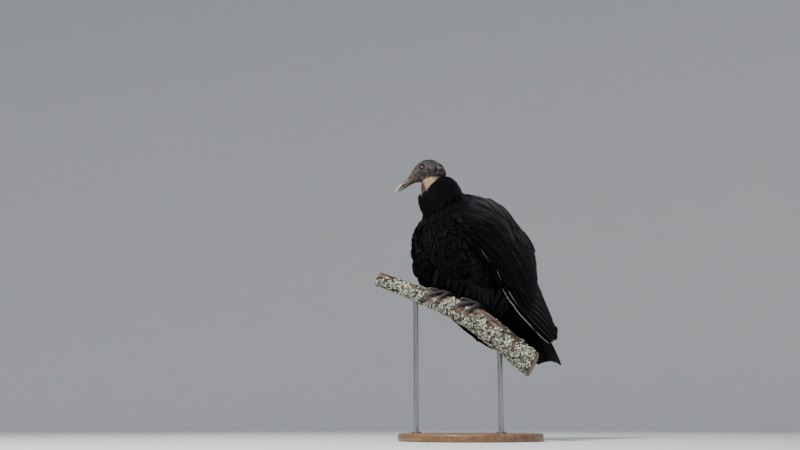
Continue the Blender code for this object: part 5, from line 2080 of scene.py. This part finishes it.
# ------------------------------------------------------------ perch
def perch_piece(mat_bark, mat_lichen):
    ns, na = 360, 230
    s = np.linspace(-0.5, 0.5, ns) * PERCH_LENGTH
    a = 2 * np.pi * np.arange(na) / na
    S, A = np.meshgrid(s, a, indexing="ij")
    S, A = S.ravel(), A.ravel()
    base = perch_point(S, A)
    r = perch_radius(S)
    q = np.stack([r * np.sin(A), r * np.cos(A), S], 1)      # bark coordinates
    long = q * np.array([1.0, 1.0, 0.22])
    warp = q + 0.004 * np.stack([noise(q, .012, 91, 1), noise(q, .012, 92, 1),
                                 noise(q, .012, 93, 1)], 1)
    wl = warp * np.array([1.0, 1.0, 0.20])
    plates = noise(wl, 0.0085, 41, 3)
    crack = np.clip(np.abs(noise(wl, 0.0052, 47, 2)) * 3.4, 0, 1)
    steps = np.round(plates * 3.0 + noise(long, .004, 48, 1)) / 3.0
    lump = noise(q, 0.034, 51, 2)
    h = 0.0009 * lump + 0.0007 * plates + 0.0009 * steps \
        - 0.0013 * (1 - crack)
    # lichen keeps off the top of the branch and lies in patches elsewhere
    top = np.cos(A - 0.10)
    crust = smooth(0.62 * noise(warp, 0.020, 61, 2)
                   + 0.45 * noise(warp, 0.0085, 64, 2)
                   - 0.42 * top + 0.36 - 0.55 * np.exp(
                       -((S - 0.020) / 0.050) ** 2) * smooth(
                           np.abs(A - 0.35), 0.75, 0.30), 0.0, 0.30)
    crust = np.maximum(crust, 0.9 * smooth(noise(warp, 0.011, 66, 2)
                                           - 0.25 * top, 0.22, 0.42))
    crust *= smooth(noise(warp, 0.0052, 65, 1), -0.30, -0.04)
    h += crust * (0.0005 + 0.0007 * noise(q, 0.0032, 63, 2))
    knots = ((-0.135, 2.05, .010), (0.105, 1.15, .012), (0.165, -1.2, .011))
    for ks, ka, kr in knots:
        d = np.hypot((S - ks), perch_radius(ks) * np.arctan2(
            np.sin(A - ka), np.cos(A - ka)))
        h += 0.0030 * np.exp(-(d / kr) ** 2) - 0.0036 * np.exp(
            -(d / (kr * .35)) ** 2)
    h = np.clip(h - 0.0012, -0.0036, 0.0026)
    # worn level under the soles so that the feet keep their hold
    for side in ("left", "right"):
        for d in TOES:
            pts = toe_points(side, d, np.linspace(0, TOES[d][1] * 1.2, 14),
                             0.0)
            for p in pts:
                w = np.exp(-(((base - p) ** 2).sum(1)) / 0.0075 ** 2)
                h = h * (1 - 0.85 * w)
                crust = crust * (1 - 0.85 * w)
    out = unit(base - perch_point(S, A, -0.01))
    taper = smooth(PERCH_LENGTH * 0.5 - np.abs(S), 0.0, 0.0022)
    v = base + out * (h * taper - 0.0010 * (1 - taper))[:, None]
    rings = v.reshape(ns, na, 3)
    verts, faces = loft(rings, 0.0)
    # sawn ends as rings of their own
    verts = list(verts[:-2])
    faces = [f for f in faces if max(f) < ns * na]
    sawn = [0.0] * len(verts)
    rr = [1.0] * len(verts)
    flat = np.zeros((0, 3))
    for row in (0, ns - 1):
        edge = rings[row]
        mid = edge.mean(0)
        heart = mid + PERCH_UP * 0.003 + PERCH_FRONT * 0.002
        last = [row * na + i for i in range(na)]
        way = PERCH_ALONG * (1 if row else -1)
        for k, share in enumerate((0.992, 0.965, 0.9, 0.8, 0.7, .6, 0.5, 0.4,
                                   .3, 0.2, .12, 0.05)):
            new = len(verts)
            wav = 0.00012 * np.sin(np.arange(na) * 0.9 + k * 2.1)
            for i in range(na):
                c = heart * (1 - share) + mid * share
                verts.append(c + (edge[i] - mid) * share + way * wav[i])
                sawn.append(1.0)
                rr.append(share)
            for i in range(na):
                j = (i + 1) % na
                f = (last[i], last[j], new + j, new + i)
                faces.append(f if row else f[::-1])
            last = [new + i for i in range(na)]
        faces.append(tuple(last) if row else tuple(last[::-1]))
    ob = mesh_object("perch_branch", np.array(verts), faces, mat_bark)
    me = ob.data
    bm = bmesh.new()
    bm.from_mesh(me)
    bmesh.ops.recalc_face_normals(bm, faces=bm.faces)
    bm.to_mesh(me)
    bm.free()
    total = len(me.vertices)
    extra = total - len(q)
    vv = coords(me)
    rel = vv[len(q):] - PERCH_MID
    co = np.concatenate([q, np.stack([rel @ PERCH_FRONT, rel @ PERCH_UP,
                                      rel @ PERCH_ALONG], 1)])
    at = me.attributes.new("barkco", "FLOAT_VECTOR", "POINT")
    at.data.foreach_set("vector", co.astype(np.float32).ravel())
    for name, data in (("crust", np.concatenate([crust, np.zeros(extra)])),
                       # mask for the painted shade in the cracks, from the depth
                       # of the bark
                       ("clear_of_crack_shade", np.concatenate([smooth(h, -0.0030, -0.0006),
                                                 np.ones(extra)])),
                       ("sawn", sawn), ("rings", rr)):
        at = me.attributes.new(name, "FLOAT", "POINT")
        at.data.foreach_set("value", np.asarray(data, np.float32))
    bird(ob)
    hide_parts("perch")
    # leafy lichen: small lobes, cupped and curled up at their edges
    rng = np.random.default_rng(77)
    g0, g1 = 4, 3
    rim = [b for b in range(g1)] + [k * g1 + g1 - 1 for k in range(1, g0)] \
        + [(g0 - 1) * g1 + b for b in range(g1 - 2, -1, -1)] \
        + [k * g1 for k in range(g0 - 2, 0, -1)]
    top_i = g0 * g1
    quads = []
    for k in range(g0 - 1):
        for b in range(g1 - 1):
            c = k * g1 + b
            quads.append((c, c + g1, c + g1 + 1, c + 1))
            quads.append((c + top_i, c + top_i + 1, c + top_i + g1 + 1,
                          c + top_i + g1))
    for u in range(len(rim)):
        w = (u + 1) % len(rim)
        quads.append((rim[u], rim[w], rim[w] + top_i, rim[u] + top_i))
    quads = np.array(quads)
    aa, bb = np.meshgrid(np.linspace(0, 1, g0), np.linspace(-1, 1, g1),
                         indexing="ij")
    aa, bb = aa.ravel(), bb.ravel()
    lobes = []
    while len(lobes) < 5600:
        i, j = rng.integers(3, ns - 3), rng.integers(0, na)
        at_i = i * na + j
        if crust[at_i] < 0.35 + 0.45 * rng.random():
            continue
        p, n = rings[i, j], out[at_i]
        t1 = unit(np.cross(n, PERCH_ALONG))
        t2 = np.cross(n, t1)
        th = rng.uniform(0, 2 * math.pi)
        e1 = t1 * math.cos(th) + t2 * math.sin(th)
        e2 = np.cross(n, e1)
        size = rng.uniform(0.0011, 0.0034)
        curl = rng.uniform(0.25, 1.25)
        wide = size * (0.35 + 0.75 * np.sin(math.pi * (0.18 + 0.72 * aa)))
        x = aa * size * 1.7 * (1 - 0.15 * bb * bb)
        y = bb * wide * 0.78 * (1 + .22 * np.sin(6 * aa + 3 * bb + th))
        z = 0.0003 + curl * size * (aa ** 2 * 0.50 + 0.22 * bb * bb) \
            + 0.0002 * np.sin(9 * aa + 7 * bb + th)
        up = p + e1 * x[:, None] + e2 * y[:, None] + n * z[:, None]
        lobes.append((np.concatenate([up, up - n * 0.00035]), rng.random()))
    per = 2 * top_i
    for half in range(2):
        some = lobes[half::2]
        ob2 = mesh_object(
            "perch_lichen_%d" % (half + 1),
            np.concatenate([v for v, _ in some]),
            np.concatenate([quads + per * q for q in range(len(some))])
            .tolist(), mat_lichen)
        for name, data in (("tone", np.repeat([t for _, t in some], per)),
                           ("along", np.tile(aa, 2 * len(some)))):
            at = ob2.data.attributes.new(name, "FLOAT", "POINT")
            at.data.foreach_set("value", data.astype(np.float32))
        bird(ob2)
    return ob


# ------------------------------------------------------------ stand
def turned(name, profile, sides, centre, material):
    """Turned piece from (radius, height) pairs, closed at both ends."""
    rings = []
    for r, z in profile:
        phi = 2 * np.pi * np.arange(sides) / sides
        rings.append(np.stack([centre[0] + r * np.cos(phi),
                               centre[1] + r * np.sin(phi),
                               np.full(sides, z)], 1))
    v, f = loft(np.array(rings), 0.0)
    ob = mesh_object(name, v, f, material)
    bm = bmesh.new()
    bm.from_mesh(ob.data)
    bmesh.ops.recalc_face_normals(bm, faces=bm.faces)
    bm.to_mesh(ob.data)
    bm.free()
    ob.data.polygons.foreach_set("use_smooth", [True] * len(ob.data.polygons))
    ob.data.set_sharp_from_angle(angle=math.radians(38))
    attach(ob, "root")
    return ob


def stand(mat_oak, mat_steel):
    R, T = 0.170, 0.018
    prof = [(0.001, 0.0), (R - 0.004, 0.0)]
    for a in np.linspace(-math.pi / 2, 0, 6):
        prof.append((R - 0.0025 + 0.0025 * math.cos(a),
                     0.0025 + 0.0025 * math.sin(a)))
    for a in np.linspace(0, math.pi / 2, 9):
        prof.append((R - 0.0060 + 0.0060 * math.cos(a),
                     T - 0.0060 + 0.0060 * math.sin(a)))
    prof += [(R - 0.012, T), (R - 0.0125, T - 0.0008), (R - 0.0140, T - 0.0008),
             (R - 0.0145, T), (0.06, T), (0.001, T)]
    base = turned("stand_disc", prof, 160, (0, 0), mat_oak)
    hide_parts("stand_base")
    for k in (1, 2):
        lo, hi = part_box("stand_rod_%d" % k)
        c = ((lo.x + hi.x) / 2, (lo.y + hi.y) / 2)
        r = 0.006
        rod = turned("stand_pin_%d" % k,
                     [(0.0002, lo.z), (r, lo.z), (r, T + .02), (r, hi.z - .05),
                      (r, hi.z - .0006), (r - .0006, hi.z), (.0002, hi.z)],
                     48, c, mat_steel)
        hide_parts("stand_rod_%d" % k)
        z = T
        collar = turned("stand_collar_%d" % k,
                        [(r + .0002, z - .0005), (r + .0052, z - .0005),
                         (r + .0058, z + .0003), (r + .0058, z + .0026),
                         (r + .0050, z + .0036), (r + .0012, z + .0044),
                         (r + .0002, z + .0044)], 48, c, mat_steel)


# ------------------------------------------------------------ build it all
MAT_BODY = vane_material("plumage", (0.0010, 0.0015, 0.0028),
                         (0.0056, 0.0066, 0.0092), 0.56, 0.70, 0.09, 0.40)
MAT_FLIGHT = vane_material("flight_feathers", (0.0009, 0.0014, 0.0028),
                           (0.0030, 0.0038, 0.0064), 0.44, 0.70, 0.05, 0.60)
MAT_SKIN = skin_material()


def paint_mask(me, name, data, kind="FLOAT"):
    at = me.attributes.new(name, kind, "POINT")
    if kind == "FLOAT":
        at.data.foreach_set("value", np.asarray(data, np.float32))
    else:
        rgba = np.concatenate([data, np.ones((len(data), 1))], 1)
        at.data.foreach_set("color", rgba.astype(np.float32).ravel())


def finish_skin(head, body, leg):
    """Colour masks, then the three meshes become the one skin."""
    me = head.data
    p = coords(me)
    x, y, z = head_coords(p)
    rel = p - HEAD_AT
    down, fwd, ay = -rel[:, 2], rel @ FACING, np.abs(y)
    crown = np.array([0.025, 0.0225, 0.0265])
    cheek = np.array([0.040, 0.031, 0.033])
    lore = np.array([0.070, 0.048, 0.042])
    throat = np.array([0.560, 0.390, 0.225])
    ear = np.array([0.120, 0.105, 0.098])
    cere = np.array([0.110, 0.084, 0.072])
    dark = np.array([0.013, 0.012, 0.013])
    warm = np.array([0.160, 0.108, 0.064])
    rosy = np.array([0.104, 0.070, 0.075])
    col = np.tile(cheek, (len(p), 1))

    def over(col, c, w):
        w = np.clip(w, 0, 1)[:, None]
        return col * (1 - w) + c * w

    def spot(x0, z0, rx, rz):
        wob = 0.35 * noise(p, 0.004, 77, 1)
        return smooth(np.hypot((x - x0) / rx, (z - z0) / rz) + wob, 1.15,
                      0.55) * smooth(ay, 0.004, 0.009)
    n1, n2 = noise(p, 0.0055, 81, 2), noise(p, 0.0060, 83, 2)
    col = over(col, crown, smooth(z, 0.004, 0.014))
    col = over(col, rosy, 0.75 * smooth(n1, 0.05, 0.45)
               * smooth(x, -0.020, 0.000))
    col = over(col, warm, 0.70 * smooth(n2, 0.10, 0.50)
               * smooth(x, 0.006, -0.010))
    col = over(col, ear, smooth(x, -0.006, -0.017) * smooth(z, 0.012, 0.0)
               * 0.85 * (0.6 + 0.8 * noise(p, 0.004, 71, 2)))
    col = over(col, dark, 0.88 * smooth(n1, -0.06, -0.34))
    col = over(col, dark, 0.75 * smooth(n2, -0.12, -0.40))
    col = over(col, lore, smooth(x, 0.026, 0.036) * 0.7)
    col = over(col, cere, smooth(x, 0.046, 0.060))
    cool = smooth(z, 0.005, 0.013)[:, None]
    col = col * (1 - cool * (1 - np.array([0.78, 0.86, 1.02])))
    # pale tan throat skin down the front of the neck, made paler as painted light
    # on that lit front
    t = smooth(down, 0.019, 0.028) * smooth(x, 0.030, 0.020) \
        * smooth(fwd, -0.026, -0.010)
    t = t * (0.80 + 0.45 * noise(p, 0.0035, 75, 2))
    col = over(col, throat, t)
    col = over(col, dark, 0.85 * spot(0.0375, -0.0010, 0.0050, 0.0036))
    col = over(col, dark, 0.75 * spot(0.0190, -0.0165, 0.0050, 0.0034))
    col = over(col, dark, 0.65 * spot(0.0040, -0.0050, 0.0052, 0.0034))
    col = over(col, dark, 0.80 * spot(-0.0135, -0.0165, 0.0062, 0.0042))
    # painted highlight: a pale patch behind the ear, standing for light caught by
    # the folds there
    col = over(col, np.array([0.210, 0.190, 0.180]),
               0.8 * spot(-0.0225, -0.0085, 0.0052, 0.0040))
    re = np.hypot(x - EYE_AT[0], z - EYE_AT[2])
    side_of = smooth(ay, .008, .013)
    col = over(col, np.array([0.066, 0.050, 0.050]),
               0.60 * side_of * smooth(re, .0082, .0098)
               * smooth(re, .0145, .0115))
    col = over(col, np.array([0.017, 0.013, 0.014]),
               0.92 * smooth(re, 0.0092, 0.0064) * side_of)
    # folds read from the mesh: how far a vertex stands over its neighbours; the
    # valleys between them get painted shade in the skin's colour
    bm = bmesh.new()
    bm.from_mesh(me)
    e = np.array([[a.index for a in ed.verts] for ed in bm.edges])
    bm.free()
    avg = p.copy()
    for _ in range(7):
        acc = np.zeros_like(avg)
        cnt = np.zeros(len(avg))
        for k in range(3):
            acc[:, k] = np.bincount(e[:, 0], avg[e[:, 1], k], len(avg)) \
                + np.bincount(e[:, 1], avg[e[:, 0], k], len(avg))
        cnt = np.bincount(e.ravel(), minlength=len(avg))
        avg = acc / np.maximum(cnt, 1)[:, None]
    n = normals(me)
    rise = ((p - avg) * n).sum(1)
    clear_of_crease_shade = smooth(rise, -0.00020, 0.00008)
    paint_mask(me, "tint", col, "FLOAT_COLOR")
    paint_mask(me, "clear_of_crease_shade", clear_of_crease_shade)
    paint_mask(me, "leg", np.zeros(len(p)))
    for ob, c, legv in ((body, (0.0040, 0.0038, 0.0044), 0.0),
                        # painted shade: the grey of the legs and feet is darkened
                        # to the shade they sit in under the belly
                        (leg, (0.040, 0.038, 0.037), 1.0)):
        m2 = ob.data
        k = len(m2.vertices)
        pp = coords(m2)
        tint = np.tile(np.array(c), (k, 1)) * (
            1 + 0.25 * noise(pp, 0.006, 5, 2))[:, None]
        paint_mask(m2, "tint", tint, "FLOAT_COLOR")
        # a little of the painted crease shade lies evenly over the body and leg
        # skin
        paint_mask(m2, "clear_of_crease_shade", np.ones(k) * 0.8)
        paint_mask(m2, "leg", np.full(k, legv))
    for ob, ratio in ((head, 0.50), (body, 0.55), (leg, 0.50)):
        ob.data.materials.clear()
        ob.data.materials.append(MAT_SKIN)
        mod = ob.modifiers.new("thin", "DECIMATE")
        mod.ratio = ratio
        apply_all(ob)
    bpy.ops.object.select_all(action="DESELECT")
    for ob in (head, body, leg):
        ob.select_set(True)
    bpy.context.view_layer.objects.active = head
    bpy.ops.object.join()
    head.name = "skin"
    head.data.polygons.foreach_set("use_smooth",
                                   [True] * len(head.data.polygons))
    bird(head)
    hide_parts("head", "neck", "trunk", "wing_left", "wing_right",
                "thigh_left", "thigh_right", "tarsus_left", "tarsus_right",
                "foot_left", "foot_right")
    return head


SKIN = finish_skin(head_skin(), shrunk_body(), leg_skin())
contour_coat(MAT_BODY)
skirt(MAT_BODY)
tail_coverts(MAT_BODY)
for side in ("left", "right"):
    made = flight_coat(side, MAT_FLIGHT)
    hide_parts("primaries_" + side)
tail_coat(MAT_FLIGHT)


def shaft_and_glint_piece():
    m = Nodes("shaft")
    pale = m.attr("pale")
    n = m.noise(m.coord(), 700.0, 2.0, 0.5)
    col = m.mix(pale, (0.012, 0.011, 0.012), (0.560, 0.530, 0.470))
    m.set(base=m.mix(m.math("MULTIPLY", n, 0.25), col,
                     m.mix(1.0, col, (.6, .55, .5), "MULTIPLY")),
          rough=0.32, spec=0.5)
    tubes, pale_v = [], []
    for path, rad, side, j in shafts_and_glints:
        rings = tube_rings(path, rad, 8, np.array([0.3, 0.4, 0.86]))
        v, f = loft(rings, .3)
        tubes.append((v, f))
        t = np.repeat(np.linspace(0, 1, len(path)), 8)
        if j == 0:
            w = smooth(t, 0.035, 0.070) * (1 - 0.85 * smooth(t, 0.72, 1.0))
        elif j == 1:
            w = 0.04 + 0.55 * smooth(t, .02, .04) * smooth(t, .14, .10)
        # painted glints: the pale dashes along the wing's edge
        elif j == 20:
            w = 0.34 * smooth(t, 0.0, 0.25) * smooth(t, 1.0, 0.7)
        else:
            w = np.full(len(t), 0.04)
        pale_v.append(np.concatenate([w, [w[0], w[-1]]]))
    ob = join_meshes("primary_shafts_and_glints", tubes)
    paint_mask(ob.data, "pale", np.concatenate(pale_v))
    ob.data.polygons.foreach_set("use_smooth", [True] * len(ob.data.polygons))
    ob.data.materials.append(m.mat)
    bird(ob)


shaft_and_glint_piece()
# the lower mandible's horn is darker than the upper's throughout: painted shade
# under the bill
bill(horn_material("horn", (0.315, 0.295, 0.265), (0.105, 0.082, 0.066),
                   0.12, 0.74),
     horn_material("horn_shaded_below", (0.150, 0.128, 0.110), (0.045, 0.037, 0.034),
                   0.20, 0.90))
claws(claw_material())
eyes(eye_material())
perch_piece(bark_material(), lichen_material())
stand(oak_material(), steel_material())


# ------------------------------------------------------------ studio
def studio():
    """Round floor swept up into a wall on every side."""
    prof = [(0.01, 0.0), (1.0, 0.0), (3.2, 0.0)]
    for a in np.linspace(0, math.pi / 2, 14)[1:]:
        prof.append((3.2 + 1.6 * math.sin(a), 1.6 - 1.6 * math.cos(a)))
    prof.append((4.8, 3.6))
    verts, faces = [], []
    n = 96
    for r, z in prof:
        for i in range(n):
            a = 2 * math.pi * i / n
            verts.append((r * math.cos(a), r * math.sin(a), z - 0.0002))
    for k in range(len(prof) - 1):
        for i in range(n):
            j = (i + 1) % n
            faces.append((k * n + i, k * n + j, (k + 1) * n + j,
                          (k + 1) * n + i))
    faces.append(tuple(range(n - 1, -1, -1)))
    ob = mesh_object("studio_floor", np.array(verts), faces, felt_material())


def area(name, where, at, size, power, colour=(1, 1, 1)):
    li = bpy.data.lights.new(name, "AREA")
    li.shape = "DISK"
    li.size = size
    li.energy = power
    li.color = colour
    ob = bpy.data.objects.new(name, li)
    bpy.context.scene.collection.objects.link(ob)
    ob.location = where
    d = Vector(at) - Vector(where)
    ob.rotation_mode = "QUATERNION"
    ob.rotation_quaternion = d.to_track_quat("-Z", "Y")
    return ob


studio()
AZ, EL = math.radians(52.0), math.radians(-12.2)
RIGHT = np.array([math.cos(AZ), math.sin(AZ), 0.0])
BACK = np.array([math.sin(AZ) * math.cos(EL), -math.cos(AZ) * math.cos(EL),
                 math.sin(EL)])
UPV = np.cross(BACK, RIGHT)
DIST, SCALE = 2.2, 0.0024
AIM = ORIGIN + RIGHT * (-59 * SCALE) + UPV * (75 * SCALE)
cam = bpy.data.cameras.new("camera")
cam.lens = DIST / SCALE / 800 * 36
cam.sensor_width = 36
cam.clip_start = 0.02
cam_ob = bpy.data.objects.new("camera", cam)
bpy.context.scene.collection.objects.link(cam_ob)
m4 = Matrix.Identity(4)
for i, v in enumerate((RIGHT, UPV, BACK)):
    for j in range(3):
        m4[j][i] = v[j]
loc = AIM + BACK * DIST
for j in range(3):
    m4[j][3] = loc[j]
cam_ob.matrix_world = m4
bpy.context.scene.camera = cam_ob

MIDDLE = (0.0, 0.02, 0.42)


def around(turn, rise, dist):
    """A point round the model: degrees to the camera's right, degrees up."""
    a = AZ + math.radians(turn)
    e = math.radians(rise)
    return (MIDDLE[0] + math.sin(a) * math.cos(e) * dist,
            MIDDLE[1] - math.cos(a) * math.cos(e) * dist,
            MIDDLE[2] + math.sin(e) * dist)


area("key", around(-38, 40, 2.3), MIDDLE, 0.55, 88, (1.0, 0.975, 0.94))
area("fill", around(55, 12, 2.6), MIDDLE, 1.6, 8, (0.90, 0.95, 1.0))
area("rim", around(150, 48, 2.4), MIDDLE, 0.9, 7, (0.94, 0.97, 1.0))
area("top", (0.0, 0.1, 2.7), MIDDLE, 1.4, 7)
world = bpy.data.worlds.new("studio")
bpy.context.scene.world = world
world.use_nodes = True
bg = world.node_tree.nodes["Background"]
bg.inputs["Color"].default_value = (0.80, 0.85, 0.92, 1.0)
bg.inputs["Strength"].default_value = 0.45
